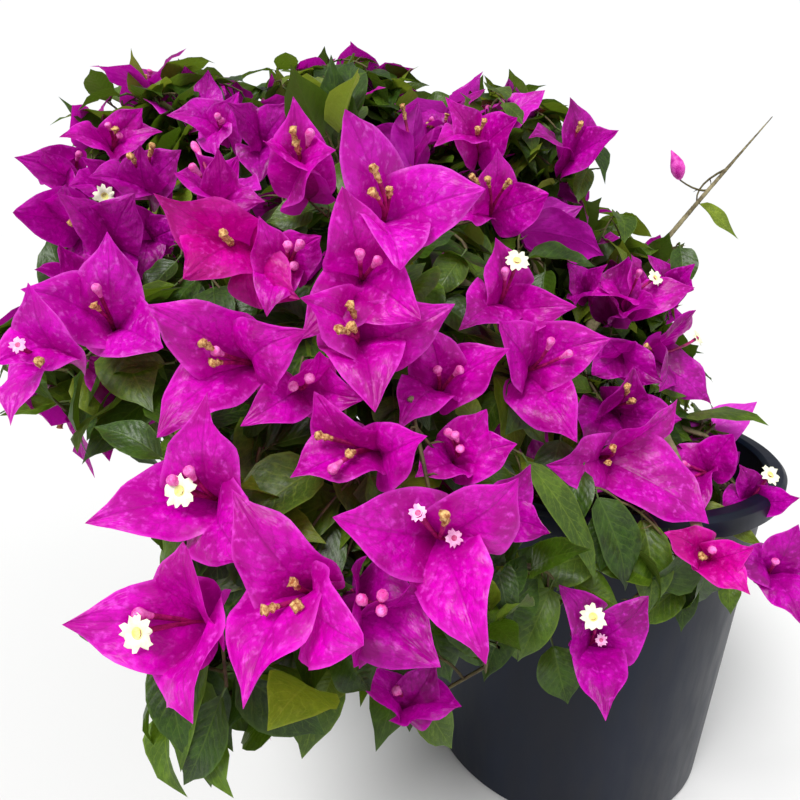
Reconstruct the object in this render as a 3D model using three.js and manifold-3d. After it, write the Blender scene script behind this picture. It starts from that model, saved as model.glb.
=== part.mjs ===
// A bougainvillea bush in a black nursery pot: a short forked stem with arching boughs, which carry masses of
// magenta bracts in threes and masses of green leaves. Millimetres, +Z up, the origin at the middle of the
// pot's flat underside. The crown leans over the pot towards -X and -Y, its fullest side.
import * as THREE from "three";
import { mergeVertices } from "three/addons/utils/BufferGeometryUtils.js";
import Module from "manifold-3d";

const wasm = await Module();
wasm.setup();

// Clearance between a piece and what carries it.
const SEAT_GAP = 0.3;
// Corners nearer than this are one corner.
const MERGE = 1e-3;
// Clearance between a mass and the limbs that pass it, and between two masses.
const LIMB_ROOM = 2.5;
const MASS_ROOM = 0.8;
// How far apart the points are that stand for a limb where a distance to it is tested, and the shares of
// the way from a blade's middle to its corners at which it is tested.
const SAMPLE_STEP = 4;
const PROBE_SHARES = [0.33, 0.66, 1];

// The pot: a tapering plastic nursery container with a wide rolled rim and drain holes round its floor.
// rimDrop is how far its rim hangs down, collar how far the wall steps out under it, rimDraft how far the
// rim's inner face leans, and rimInset how far its lip stands into the pot.
const POT = {
  height: 280,
  footRadius: 121,
  shoulderRadius: 140,
  rimRadius: 150,
  rimDrop: 15,
  rimBead: 3,
  rimDraft: 0.6,
  rimInset: 1.5,
  collar: 1.5,
  collarDrop: 2,
  footBead: 4,
  wall: 2.6,
  floor: 3.2,
  sides: 40,
};
const DRAIN = { holes: 6, radius: 9, ring: 92, sides: 8 };

// The potting mix: it fills the pot to below the rim, and is a little mounded round the stem.
const MIX = { belowRim: 40, mound: 4, restRadius: 34, ringRadii: [108, 72, 34], sides: 32 };
const RIPPLE = { height: 1.6, acrossX: 9, acrossY: 11 };

// The woody foot: flared at the mix, leaning with the crown, up to where it forks. The flare dies away over
// the lowest share of its height.
const STEM = { height: 84, radius: 12.5, headRadius: 9, lean: [-16, -8], sides: 10, steps: 7 };
const FLARE = { radius: 21, share: 1 / 3 };

// Boughs, from the stem and from each other. elbow is the share of the way to the middle of its mass at which
// a bough bends.
const BOUGH = { rootRadius: 6, tipRadius: 3.4, elbow: 0.45, sides: 6, steps: 6 };
const SIDE_BOUGH = { rootRadius: 4.6, tipRadius: 3, elbow: 0.45, sides: 6, steps: 5 };

// A mass's own stem, whose twigs root from rootsFrom to rootsTo of its length, and a twig, sunk into it.
const MASS_STEM = { tipRadius: 2.9, elbow: 0.6, rootsFrom: 0.12, rootsTo: 0.96, sides: 5, steps: 2 };
const TWIG = { radius: 1.7, sink: 0.3, sides: 3, steps: 1, tested: [0.35, 0.65, 1] };

// Bracts stand in threes at the twigs' tips, and leaves stand singly along them. widest is the share of the
// length at which the blade is widest, cup how far its sides stand forward of its midrib, and recurve how
// far its tip bends back. opening is the angle in radians between a bract and the way that its spray faces,
// varied by a share, and turn how far that way strays from the twig's.
const BRACT = { length: 50, width: 40, thickness: 3, widest: 0.42, cup: 5, recurve: 5, opening: 1.02 };
const SPRAY = { bracts: 3, openingSpread: 0.3, turn: 0.5 };
const LEAF = { length: 60, width: 34, thickness: 1.4, widest: 0.4, cup: 4, recurve: 9 };
const LEAF_SEAT = { sink: 0.4, droop: 0.25 };
// Where the leaves of a twig begin and end as shares of its length, and how far they lean along it.
const LEAVES_UNDER_SPRAY = { first: 0.5, last: 0.96, lean: 0 };
const LEAVES_ALONE = { first: 0.4, last: 0.96, lean: 0.5 };
const GOLDEN_ANGLE = Math.PI * (3 - Math.sqrt(5));
// The point that the whole crown looks away from.
const HEART = new THREE.Vector3(-110, 0, 320);

// The masses: at is the middle and reach how far it spreads, both along X, Y and Z. from names what its bough
// grows out of, forkAt is the share of that limb's length there, and lift is how far the bough arches.
const mass = (name, at, reach, from, forkAt, lift) => ({ name, at, reach, from, forkAt, lift });
const MASSES = [
  mass("blossom_front", [-150, -192, 370], [112, 122, 102], "stem", 0.8, 26),
  mass("blossom_left", [-338, -104, 396], [106, 118, 102], "stem", 0.62, 44),
  mass("blossom_top_front", [-176, -92, 460], [104, 126, 96], "stem", 0.96, 18),
  mass("blossom_right", [-30, -76, 372], [92, 96, 92], "stem", 0.7, 10),
  mass("blossom_top_right", [-70, 50, 496], [88, 94, 83], "stem", 0.9, 22),
  mass("blossom_right_back", [44, 122, 390], [88, 100, 94], "stem", 0.74, 26),
  mass("blossom_back", [-122, 176, 424], [108, 98, 104], "stem", 0.84, 24),
  mass("blossom_left_low", [-238, -226, 298], [104, 106, 94], "stem", 0.5, 74),
  mass("blossom_right_low", [22, -186, 260], [98, 68, 74], "stem", 0.44, 112),
  mass("blossom_rim", [50, -80, 312], [84, 72, 64], "stem", 0.36, 34),
  mass("blossom_top_left", [-332, 40, 500], [108, 104, 90], "blossom_left", 0.5, 30),
  mass("blossom_top_back", [-206, 104, 532], [98, 92, 84], "blossom_back", 0.5, 30),
  mass("blossom_left_back", [-304, 150, 388], [108, 108, 100], "blossom_back", 0.34, 22),
  mass("leaves_middle", [-120, -20, 380], [78, 74, 66], "blossom_top_front", 0.3, 4),
  mass("leaves_front_low", [-112, -214, 246], [88, 62, 74], "blossom_left_low", 0.5, 34),
  mass("leaves_left_inner", [-250, -60, 330], [84, 84, 64], "blossom_left", 0.4, 4),
  mass("leaves_back_low", [-112, 172, 306], [112, 92, 66], "blossom_back", 0.2, 30),
  mass("leaves_right_back", [78, 112, 314], [82, 78, 62], "blossom_right_back", 0.26, 22),
  mass("long_shoot", [238, 256, 540], [112, 84, 84], "blossom_right_back", 0.6, 4),
];
// What a mass of each sort carries: its twigs, how wide they spread from the way it faces (as a cosine,
// where -1 is all round), of how many twigs one ends in a spray of bracts (none do at 0), the leaves along
// each, and how far past the middle its own stem runs, as a share of the reach.
const GROWTH = {
  blossom: { twigs: 12, spread: -0.4, sprays: 1, leaves: 1, stem: 0.35 },
  leaves: { twigs: 9, spread: -1, sprays: 0, leaves: 2, stem: 0.35 },
  long: { twigs: 6, spread: -0.9, sprays: 4, leaves: 1, stem: 0.92 },
};
// Where a twig ends, as a share of the reach, under a spray and with leaves alone, how much that varies, and
// the shares of it that are tried in turn until the twig and its blades find room.
const SPRAY_SHARE = 0.92;
const LEAFY_SHARE = 0.66;
const SHARE_SPREAD = 0.16;
const TRIES = [1, 0.86, 0.72, 0.58];
// The ways that are tried from the middle of each mass. The first share of them is kept only where a twig
// crosses no other, and the rest may cross one.
const TRIED_WAYS = 110;
const FREE_SHARE = 0.5;
// Where a bough gives over to its mass, as a share of the reach back from the middle, and the least share of
// the way from its elbow to the middle that it runs.
const ENTRY_SHARE = 0.55;
const LEAST_RUN = 0.4;
// How far chance draws the way that a spray faces along X, Y and Z, and the least that it adds: a little up.
const FACING_CHANCE = [1, 1, 0.8];
const FACING_LEAST = [-0.5, -0.5, -0.1];

const COLOURS = {
  pot: { color: 0x2b3038, roughness: 0.5 },
  mix: { color: 0x2e2119, roughness: 0.98 },
  bark: { color: 0x7c6748, roughness: 0.9 },
  blossom: { color: 0xc20fae, roughness: 0.6 },
  leaves: { color: 0x2f5a1d, roughness: 0.45 },
};

/** A run of numbers from 0 to 1 that is the same for the same seed. */
function seeded(seed) {
  let state = seed >>> 0;
  return () => {
    state = (state + 0x6d2b79f5) >>> 0;
    let t = Math.imul(state ^ (state >>> 15), 1 | state);
    t = (t + Math.imul(t ^ (t >>> 7), 61 | t)) ^ t;
    return ((t ^ (t >>> 14)) >>> 0) / 4294967296;
  };
}

/** A closed geometry as a solid that can be joined and cut. */
function solidOf(geometry) {
  const bare = geometry.clone();
  bare.deleteAttribute("normal");
  bare.deleteAttribute("uv");
  const merged = mergeVertices(bare, MERGE);
  return new wasm.Manifold(
    new wasm.Mesh({
      numProp: 3,
      vertProperties: new Float32Array(merged.attributes.position.array),
      triVerts: new Uint32Array(merged.index.array),
    }),
  );
}

/** A solid as a geometry. */
function geometryOf(solid) {
  const mesh = solid.getMesh();
  const geometry = new THREE.BufferGeometry();
  geometry.setAttribute("position", new THREE.BufferAttribute(new Float32Array(mesh.vertProperties), 3));
  geometry.setIndex(new THREE.BufferAttribute(new Uint32Array(mesh.triVerts), 1));
  geometry.computeVertexNormals();
  return geometry;
}

/** The largest of a solid's bodies, with near corners merged: loose scraps go and sealed hollows fill. */
function largestBody(solid) {
  const largest = (bodies) => bodies.reduce((best, body) => (body.volume() > best.volume() ? body : best));
  return largest(solidOf(geometryOf(largest(solid.decompose()))).decompose());
}

/** A profile of [radius, height] pairs turned round the Z axis. */
function turned(profile, sides) {
  const points = profile.map(([radius, height]) => new THREE.Vector2(radius, height));
  return new THREE.LatheGeometry(points, sides).rotateX(Math.PI / 2);
}

/** A round limb along a curve, tapering to its tip; radiusAt gives the radius at a share of it. */
function limbGeometry(curve, radiusAt, sides, steps) {
  const tube = new THREE.CylinderGeometry(1, 1, 1, sides, steps);
  const frames = curve.computeFrenetFrames(steps);
  const position = tube.attributes.position;
  for (let i = 0; i < position.count; i += 1) {
    const share = 0.5 - position.getY(i);
    const step = Math.round(share * steps);
    const centre = curve.getPointAt(step / steps);
    const radius = radiusAt(step / steps);
    centre.addScaledVector(frames.normals[step], position.getX(i) * radius);
    centre.addScaledVector(frames.binormals[step], position.getZ(i) * radius);
    position.setXYZ(i, centre.x, centre.y, centre.z);
  }
  return tube;
}

/** The solid of a closed geometry, with each face turned round if they point in. */
function rightSideOut(geometry) {
  const solid = solidOf(geometry);
  if (solid.volume() > 0) return solid;
  const index = geometry.index.array;
  for (let i = 0; i < index.length; i += 3) [index[i], index[i + 1]] = [index[i + 1], index[i]];
  return solidOf(geometry);
}

/** A limb's solid. */
function limbSolid(curve, radiusAt, sides, steps) {
  return rightSideOut(limbGeometry(curve, radiusAt, sides, steps));
}

/** The corners of a position attribute as vectors. */
function cornersOf(position) {
  const corner = (_, i) => new THREE.Vector3().fromBufferAttribute(position, i);
  return Array.from({ length: position.count }, corner);
}

/** A leaf of eight faces: widest part way along, folded along its midrib, its tip bent down. */
function leafBlade(root, along, across) {
  const blade = new THREE.OctahedronGeometry(1, 0);
  const position = blade.attributes.position;
  for (let i = 0; i < position.count; i += 1) {
    const [x, y, z] = [position.getX(i), position.getY(i), position.getZ(i)];
    const isTip = x > 0.5;
    const isEnd = Math.abs(x) > 0.5;
    const isFace = Math.abs(z) > 0.5;
    const far = isTip ? 1 : isEnd ? 0 : LEAF.widest;
    const depth = isFace ? (z * LEAF.thickness) / 2 - LEAF.cup : isTip ? -LEAF.recurve : 0;
    position.setXYZ(i, far * LEAF.length, (y * LEAF.width) / 2, depth);
  }
  const normal = new THREE.Vector3().crossVectors(along, across);
  blade.applyMatrix4(new THREE.Matrix4().makeBasis(along, across, normal).setPosition(root));
  return { solid: solidOf(blade), corners: cornersOf(position) };
}

/** Where a mark of a bract lies: far along it, across it and forward of it, on a spray that faces a way. */
function bractPoint(root, facing, radial, opening, [far, across, forward]) {
  const along = facing.clone().multiplyScalar(Math.cos(opening)).addScaledVector(radial, Math.sin(opening));
  const inward = facing.clone().multiplyScalar(Math.sin(opening)).addScaledVector(radial, -Math.cos(opening));
  const sideways = new THREE.Vector3().crossVectors(facing, radial);
  const point = root.clone().addScaledVector(along, far);
  return point.addScaledVector(sideways, across).addScaledVector(inward, forward);
}

/** A three-sided twig that opens at its tip into a cup of three pointed bracts, as one closed surface. */
function sprayedTwig(from, tip, facing, spin, openings) {
  const heading = tip.clone().sub(from).normalize();
  const [u, v] = squareTo(facing);
  const radials = openings.map((_, k) => {
    const angle = spin + (k * 2 * Math.PI) / SPRAY.bracts;
    return u.clone().multiplyScalar(Math.cos(angle)).addScaledVector(v, Math.sin(angle));
  });
  const widest = BRACT.length * BRACT.widest;
  const marks = [
    [widest, -BRACT.width / 2, BRACT.cup],
    [BRACT.length, 0, -BRACT.recurve],
    [widest, BRACT.width / 2, BRACT.cup],
  ];
  const rim = radials.flatMap((radial, k) =>
    marks.map((mark) => bractPoint(tip, facing, radial, openings[k], mark)),
  );
  const collar = radials.map((radial) => tip.clone().addScaledVector(radial, TWIG.radius));
  const foot = radials.map((radial) => {
    const square = radial.clone().addScaledVector(heading, -radial.dot(heading)).normalize();
    return from.clone().addScaledVector(square, TWIG.radius);
  });
  const heart = tip.clone().addScaledVector(facing, BRACT.thickness);
  const corners = [heart, ...rim, ...collar, ...foot];
  const rimAt = 1;
  const collarAt = rimAt + rim.length;
  const footAt = collarAt + collar.length;
  const faces = rim.map((_, i) => [0, rimAt + i, rimAt + ((i + 1) % rim.length)]);
  for (let k = 0; k < SPRAY.bracts; k += 1) {
    const next = (k + 1) % SPRAY.bracts;
    const near = rimAt + marks.length * k;
    const [point, far] = [near + 1, near + 2];
    const beyond = rimAt + marks.length * next;
    const [c, cNext, f, fNext] = [collarAt + k, collarAt + next, footAt + k, footAt + next];
    faces.push([near, c, point], [point, c, far], [far, c, cNext], [far, cNext, beyond]);
    faces.push([c, f, cNext], [cNext, f, fNext]);
  }
  faces.push([footAt, footAt + 2, footAt + 1]);
  const geometry = new THREE.BufferGeometry().setFromPoints(corners);
  geometry.setIndex(faces.flat());
  return { solid: rightSideOut(geometry), corners: rim };
}

/** Two unit vectors square to an axis and to each other. */
function squareTo(axis) {
  const helper = Math.abs(axis.z) < 0.9 ? new THREE.Vector3(0, 0, 1) : new THREE.Vector3(1, 0, 0);
  const first = new THREE.Vector3().crossVectors(helper, axis).normalize();
  return [first, new THREE.Vector3().crossVectors(axis, first)];
}

/** Directions spread evenly over a cap round an axis, as far from it as the cosine says. */
function spreadRound(axis, count, cosine, spin) {
  const [u, v] = squareTo(axis);
  return Array.from({ length: count }, (_, i) => {
    const height = 1 - ((1 - cosine) * (i + 0.5)) / count;
    const side = Math.sqrt(Math.max(0, 1 - height * height));
    const angle = i * GOLDEN_ANGLE + spin;
    return new THREE.Vector3()
      .addScaledVector(axis, height)
      .addScaledVector(u, side * Math.cos(angle))
      .addScaledVector(v, side * Math.sin(angle));
  });
}

/** The height of the mix's surface at a distance from its middle. */
function mixTop(radius) {
  const edge = POT.height - MIX.belowRim;
  const fall = Math.min(1, Math.max(0, (radius - MIX.restRadius) / (POT.shoulderRadius - MIX.restRadius)));
  return edge + MIX.mound * (1 - fall * fall);
}

/** The radius of the pot's outer wall at a height. */
function wallRadius(height) {
  return POT.footRadius + ((POT.shoulderRadius - POT.footRadius) * height) / POT.height;
}

/** The pot: floor, wall and rolled rim in one shell, with its drain holes cut through the floor. */
function pot() {
  const lip = POT.height - POT.rimDrop;
  const shoulder = POT.height - 2 * POT.rimBead;
  const inner = (height) => wallRadius(height) - POT.wall;
  const profile = [
    [0, 0],
    [POT.footRadius - POT.footBead, 0],
    [wallRadius(POT.footBead), POT.footBead],
    [wallRadius(lip - POT.collarDrop), lip - POT.collarDrop],
    [wallRadius(lip) + POT.collar, shoulder],
    [POT.rimRadius - POT.rimBead, shoulder],
    [POT.rimRadius - POT.rimBead + POT.rimDraft, lip],
    [POT.rimRadius, lip],
    [POT.rimRadius, POT.height - POT.rimBead],
    [POT.rimRadius - POT.rimBead, POT.height],
    [inner(POT.height) - POT.rimInset + POT.rimBead, POT.height],
    [inner(POT.height) - POT.rimInset, POT.height - POT.rimBead],
    [inner(shoulder), shoulder],
    [inner(POT.floor), POT.floor],
    [0, POT.floor],
  ];
  const shell = solidOf(turned(profile, POT.sides));
  const drill = new THREE.CylinderGeometry(DRAIN.radius, DRAIN.radius, POT.floor * 4, DRAIN.sides);
  drill.rotateX(Math.PI / 2);
  let drained = shell;
  for (let i = 0; i < DRAIN.holes; i += 1) {
    const angle = (i * 2 * Math.PI) / DRAIN.holes;
    const place = [DRAIN.ring * Math.cos(angle), DRAIN.ring * Math.sin(angle), POT.floor / 2];
    drained = drained.subtract(solidOf(drill.clone().translate(...place)));
  }
  return drained;
}

/** The potting mix: clear of the pot by the seat gap, with a rippled top that is level under the stem. */
function pottingMix() {
  const reach = (height) => (wallRadius(height) - POT.wall) * Math.cos(Math.PI / POT.sides) - SEAT_GAP;
  const bottom = POT.floor + SEAT_GAP;
  const edge = POT.height - MIX.belowRim;
  const profile = [
    [0, bottom],
    [reach(bottom), bottom],
    [reach(edge), edge],
    ...MIX.ringRadii.map((radius) => [radius, mixTop(radius)]),
    [0, mixTop(0)],
  ];
  const geometry = turned(profile, MIX.sides);
  const position = geometry.attributes.position;
  for (let i = 0; i < position.count; i += 1) {
    const [x, y, z] = [position.getX(i), position.getY(i), position.getZ(i)];
    const isRippled = z > edge + SEAT_GAP && Math.hypot(x, y) > MIX.restRadius + SEAT_GAP;
    const wave = Math.sin(x / RIPPLE.acrossX) * Math.cos(y / RIPPLE.acrossY);
    if (isRippled) position.setZ(i, z + RIPPLE.height * wave);
  }
  return solidOf(geometry);
}

// The stem's line and thickness, from the mix up to its head.
const STEM_FOOT = mixTop(0) + SEAT_GAP;
const STEM_HEAD = new THREE.Vector3(STEM.lean[0], STEM.lean[1], STEM_FOOT + STEM.height);
const STEM_LINE = new THREE.QuadraticBezierCurve3(
  new THREE.Vector3(0, 0, STEM_FOOT),
  new THREE.Vector3(0, 0, STEM_FOOT + STEM.height / 2),
  STEM_HEAD,
);

/** The stem's radius at a share of its height: the root flare dies away towards its top. */
function stemRadius(share) {
  const taper = THREE.MathUtils.lerp(STEM.radius, STEM.headRadius, share);
  return taper + (FLARE.radius - STEM.radius) * Math.max(0, 1 - share / FLARE.share) ** 2;
}

/** The stem, standing on a flat cut. */
function mainStem() {
  const solid = limbSolid(STEM_LINE, stemRadius, STEM.sides, STEM.steps);
  const side = 4 * FLARE.radius;
  const below = new THREE.BoxGeometry(side, side, side).translate(0, 0, STEM_FOOT - side / 2);
  return solid.subtract(solidOf(below));
}

/** How far a mass reaches from its middle along a direction. */
function reachAlong(mass, direction) {
  const [rx, ry, rz] = mass.reach;
  return direction.length() / Math.hypot(direction.x / rx, direction.y / ry, direction.z / rz);
}

/** A bough's line, radii and form, from what it grows out of to where it enters its mass. */
function boughOf(mass, limbs) {
  const size = mass.from === "stem" ? BOUGH : SIDE_BOUGH;
  const root = limbs.get(mass.from).line.getPoint(mass.forkAt);
  const middle = new THREE.Vector3(...mass.at);
  const elbow = root.clone().lerp(middle, size.elbow).add(new THREE.Vector3(0, 0, mass.lift));
  const run = elbow.distanceTo(middle);
  const back = ENTRY_SHARE * reachAlong(mass, middle.clone().sub(elbow));
  const tip = elbow.clone().lerp(middle, Math.max(LEAST_RUN, 1 - back / run));
  const line = new THREE.QuadraticBezierCurve3(root, elbow, tip);
  const radiusAt = (at) => THREE.MathUtils.lerp(size.rootRadius, size.tipRadius, at);
  return { line, radiusAt, sides: size.sides, steps: size.steps, tip, heading: line.getTangent(1) };
}

/** The solid of a limb, fatter all round by the room that its neighbours keep. */
function fattened(limb, room) {
  return limbSolid(limb.line, (at) => limb.radiusAt(at) + room, limb.sides, limb.steps);
}

/** How far a point is from a limb's surface. */
function clearOf(point, limb) {
  return Math.min(...limb.samples.map(([centre, radius]) => centre.distanceTo(point) - radius));
}

/** Points along a limb with the radius at each, for quick tests of distance. */
function samplesOf(limb) {
  const count = Math.ceil(limb.line.getLength() / SAMPLE_STEP);
  const shares = Array.from({ length: count + 1 }, (_, i) => i / count);
  return shares.map((share) => [limb.line.getPoint(share), limb.radiusAt(share)]);
}

/** The space that a mass keeps to: within its reach and nearer to its own middle than to any other. */
function spaceOf(mass) {
  const middle = new THREE.Vector3(...mass.at);
  const [rx, ry, rz] = mass.reach;
  const weight = ({ reach }) => ((reach[0] + reach[1] + reach[2]) / 3) ** 2;
  const walls = MASSES.filter((other) => other !== mass).map((other) => {
    const away = new THREE.Vector3(...other.at).sub(middle);
    const span = away.length();
    const share = (span * span + weight(mass) - weight(other)) / (2 * span);
    return { normal: away.divideScalar(span), share: share - MASS_ROOM };
  });
  return (point) => {
    const from = point.clone().sub(middle);
    const inReach = (from.x / rx) ** 2 + (from.y / ry) ** 2 + (from.z / rz) ** 2 <= 1;
    return inReach && walls.every((wall) => from.dot(wall.normal) < wall.share);
  };
}

/** Points spread over a blade or twig, from its corners, for the test of what it would touch. */
function probes(corners) {
  const middle = corners.reduce((sum, corner) => sum.add(corner), new THREE.Vector3());
  middle.divideScalar(corners.length);
  return corners.flatMap((corner) => PROBE_SHARES.map((share) => middle.clone().lerp(corner, share)));
}

/** True where a point stands clear of the pot and of the mix in it. */
function clearOfPot(point) {
  const radius = Math.hypot(point.x, point.y);
  if (radius > POT.rimRadius + LIMB_ROOM) return true;
  const isOverWall = radius > wallRadius(MIX.belowRim) - POT.wall - LIMB_ROOM;
  return point.z > (isOverWall ? POT.height : mixTop(0)) + LIMB_ROOM;
}

/** What a mass of its sort carries. */
function growthOf(mass) {
  return GROWTH[mass.name.split("_")[0]];
}

/** The way that a mass looks: away from the crown's heart, or on along its own bough for the long shoot. */
function facingOf(mass, bough) {
  return mass.name.startsWith("long") ? bough.heading : new THREE.Vector3(...mass.at).sub(HEART).normalize();
}

/** A mass's own stem, which carries its bough on into it, from the seat gap past the bough's tip. */
function massStemOf(mass, bough) {
  const middle = new THREE.Vector3(...mass.at);
  const facing = facingOf(mass, bough);
  const start = bough.tip.clone().addScaledVector(bough.heading, SEAT_GAP);
  const end = middle.clone().addScaledVector(facing, growthOf(mass).stem * reachAlong(mass, facing));
  const elbow = start.clone().addScaledVector(bough.heading, start.distanceTo(middle) * MASS_STEM.elbow);
  const line = new THREE.QuadraticBezierCurve3(start, elbow, end);
  const radiusAt = (at) => THREE.MathUtils.lerp(bough.radiusAt(1), MASS_STEM.tipRadius, at);
  return { line, radiusAt, sides: MASS_STEM.sides, steps: MASS_STEM.steps };
}

/** One mass: its stem, and each twig with the bracts and leaves that keep to its space. */
function grownMass(mass, index, limbs, stems) {
  const draw = seeded(101 + 17 * index);
  const growth = growthOf(mass);
  const middle = new THREE.Vector3(...mass.at);
  const inSpace = spaceOf(mass);
  const stem = stems.get(mass.name);
  const bough = limbs.get(mass.name);
  const facing = facingOf(mass, bough);
  const body = limbSolid(stem.line, stem.radiusAt, stem.sides, stem.steps);

  const every = [...limbs.values(), ...[...stems.values()].filter((other) => other !== stem)];
  const others = every.filter((limb) => limb !== bough);
  const isFree = (points, limbSet, room) =>
    points.every((point) => clearOfPot(point) && limbSet.every((limb) => clearOf(point, limb) > room));
  const grown = [];
  const crossings = (solid) => grown.filter((other) => touches(solid, other)).length;
  const finds = ({ corners }) => corners.every(inSpace) && isFree(probes(corners), every, LIMB_ROOM);

  spreadRound(facing, TRIED_WAYS, growth.spread, draw() * Math.PI).forEach((direction, i) => {
    const chance = Array.from({ length: 6 }, draw);
    if (grown.length === growth.twigs) return;
    const allowed = i < TRIED_WAYS * FREE_SHARE ? 0 : 1;
    const sprayed = growth.sprays > 0 && grown.length % growth.sprays === 0;
    const full = (sprayed ? SPRAY_SHARE : LEAFY_SHARE) * (1 + SHARE_SPREAD * (chance[4] - 0.5));
    const inset = sprayed ? BRACT.length * Math.cos(BRACT.opening) : 0;
    const root = stem.line.getPoint(THREE.MathUtils.lerp(MASS_STEM.rootsFrom, MASS_STEM.rootsTo, chance[5]));
    for (const trial of TRIES) {
      const reach = full * trial * reachAlong(mass, direction) - inset;
      const target = middle.clone().addScaledVector(direction, reach);
      const from = root.clone().lerp(target, -TWIG.sink / root.distanceTo(target));
      const line = new THREE.LineCurve3(from, target);
      const marks = TWIG.tested.map((at) => line.getPoint(at));
      if (!isFree(marks, others, 2 * LIMB_ROOM) || !marks.slice(1).every(inSpace)) continue;
      const twig = sprayed
        ? cup(from, target, chance)
        : { solid: limbSolid(line, () => TWIG.radius, TWIG.sides, TWIG.steps) };
      if ((sprayed && !finds(twig)) || crossings(twig.solid) > allowed) continue;
      const places = sprayed ? LEAVES_UNDER_SPRAY : LEAVES_ALONE;
      const leaves = leavesOn(line, growth.leaves, i + chance[0], places).filter(
        (leaf) => finds(leaf) && !crossings(leaf.solid),
      );
      if (!sprayed && !leaves.length) continue;
      grown.push(leaves.reduce((sum, { solid }) => sum.add(solid), twig.solid));
      break;
    }
  });
  return grown.reduce((sum, solid) => sum.add(solid), body);
}

/** True where two solids share any room. */
function touches(one, other) {
  return one.intersect(other).volume() > 0;
}

/** A twig with its spray, which faces along the twig and outwards, turned a little at random. */
function cup(from, tip, chance) {
  const facing = tip.clone().sub(from).normalize().add(tip.clone().sub(HEART).normalize());
  const stray = FACING_CHANCE.map((size, axis) => size * chance[axis] + FACING_LEAST[axis]);
  facing.addScaledVector(new THREE.Vector3(...stray), SPRAY.turn);
  const openings = Array.from(
    { length: SPRAY.bracts },
    (_, k) => BRACT.opening * (1 + SPRAY.openingSpread * (chance[k] - 0.5)),
  );
  return sprayedTwig(from, tip, facing.normalize(), chance[3] * 2 * Math.PI, openings);
}

/** The leaves along a twig's line, turning round it by the golden angle. */
function leavesOn(line, count, turn, { first, last, lean }) {
  const heads = line.getTangent(0);
  const [u, v] = squareTo(heads);
  return Array.from({ length: count }, (_, k) => {
    const at = THREE.MathUtils.lerp(first, last, k / Math.max(1, count - 1));
    const angle = turn + k * GOLDEN_ANGLE;
    const along = heads.clone().multiplyScalar(lean);
    along.addScaledVector(u, Math.cos(angle)).addScaledVector(v, Math.sin(angle));
    along.z -= LEAF_SEAT.droop;
    along.normalize();
    const across = new THREE.Vector3().crossVectors(new THREE.Vector3(0, 0, 1), along).normalize();
    return leafBlade(line.getPoint(at).addScaledVector(along, -LEAF_SEAT.sink), along, across);
  });
}

/** A named mesh of a solid. */
function piece(name, solid, colour) {
  const mesh = new THREE.Mesh(
    geometryOf(solid),
    new THREE.MeshStandardMaterial({ metalness: 0, ...COLOURS[colour] }),
  );
  mesh.name = name;
  return mesh;
}

/** The bush: pot, mix and stem, then each bough cut clear of the limbs before it, then each mass. */
function bush() {
  const group = new THREE.Group();
  group.name = "bougainvillea_bush";
  group.add(piece("pot", pot(), "pot"), piece("potting_mix", pottingMix(), "mix"));
  const stem = mainStem();
  group.add(piece("main_stem", stem, "bark"));

  const { sides, steps } = STEM;
  const limbs = new Map([["stem", { line: STEM_LINE, radiusAt: stemRadius, sides, steps }]]);
  for (const mass of MASSES) limbs.set(mass.name, boughOf(mass, limbs));
  const stems = new Map(MASSES.map((mass) => [mass.name, massStemOf(mass, limbs.get(mass.name))]));
  for (const limb of [...limbs.values(), ...stems.values()]) limb.samples = samplesOf(limb);

  const built = [];
  for (const [name, limb] of limbs) {
    if (name !== "stem") {
      const whole = limbSolid(limb.line, limb.radiusAt, limb.sides, limb.steps);
      const cut = built.reduce((solid, other) => solid.subtract(fattened(other, SEAT_GAP)), whole);
      group.add(piece(`bough_${name}`, largestBody(cut), "bark"));
    }
    built.push(limb);
  }
  MASSES.forEach((mass, index) => {
    const grown = grownMass(mass, index, limbs, stems);
    const kept = built.reduce((solid, limb) => solid.subtract(fattened(limb, SEAT_GAP)), grown);
    built.push(stems.get(mass.name));
    const colour = mass.name.startsWith("blossom") ? "blossom" : "leaves";
    group.add(piece(mass.name, largestBody(kept), colour));
  });
  return group;
}

export default bush();
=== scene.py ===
"""A potted bougainvillea bush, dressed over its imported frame.

The pot, potting mix, bark, twigs, leaves, bracts in threes and flowers are in metres, +Z up. The origin is at
the middle of the pot's flat underside. The limbs and masses repeat the part's own rule, and the masses are
carried on here to finer twigs within the same reach.
"""
import logging
import math
from dataclasses import dataclass, field, replace
from enum import Enum

import bpy
import numpy as np
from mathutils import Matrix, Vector


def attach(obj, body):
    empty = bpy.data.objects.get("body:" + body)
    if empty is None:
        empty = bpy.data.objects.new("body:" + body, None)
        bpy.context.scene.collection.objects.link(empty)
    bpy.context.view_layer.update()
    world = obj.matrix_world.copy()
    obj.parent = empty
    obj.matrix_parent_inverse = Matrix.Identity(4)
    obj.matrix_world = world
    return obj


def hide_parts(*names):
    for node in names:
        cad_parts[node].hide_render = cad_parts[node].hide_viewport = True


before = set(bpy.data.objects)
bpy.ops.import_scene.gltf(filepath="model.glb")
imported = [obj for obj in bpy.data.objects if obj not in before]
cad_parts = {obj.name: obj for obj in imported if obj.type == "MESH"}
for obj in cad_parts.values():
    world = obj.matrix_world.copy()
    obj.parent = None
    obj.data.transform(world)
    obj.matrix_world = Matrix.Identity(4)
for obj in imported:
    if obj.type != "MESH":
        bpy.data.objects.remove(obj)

LOG = logging.getLogger("bougainvillea")
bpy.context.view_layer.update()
MM = 0.001
GOLDEN_ANGLE = math.pi * (3 - math.sqrt(5))
UP = np.array([0.0, 0.0, 1.0])
BODY = "root"


def unit(vector: np.ndarray) -> np.ndarray:
    """The vector, or each row of an array, at length one."""
    return vector / np.maximum(np.linalg.norm(vector, axis=-1, keepdims=True), 1e-12)


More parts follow.
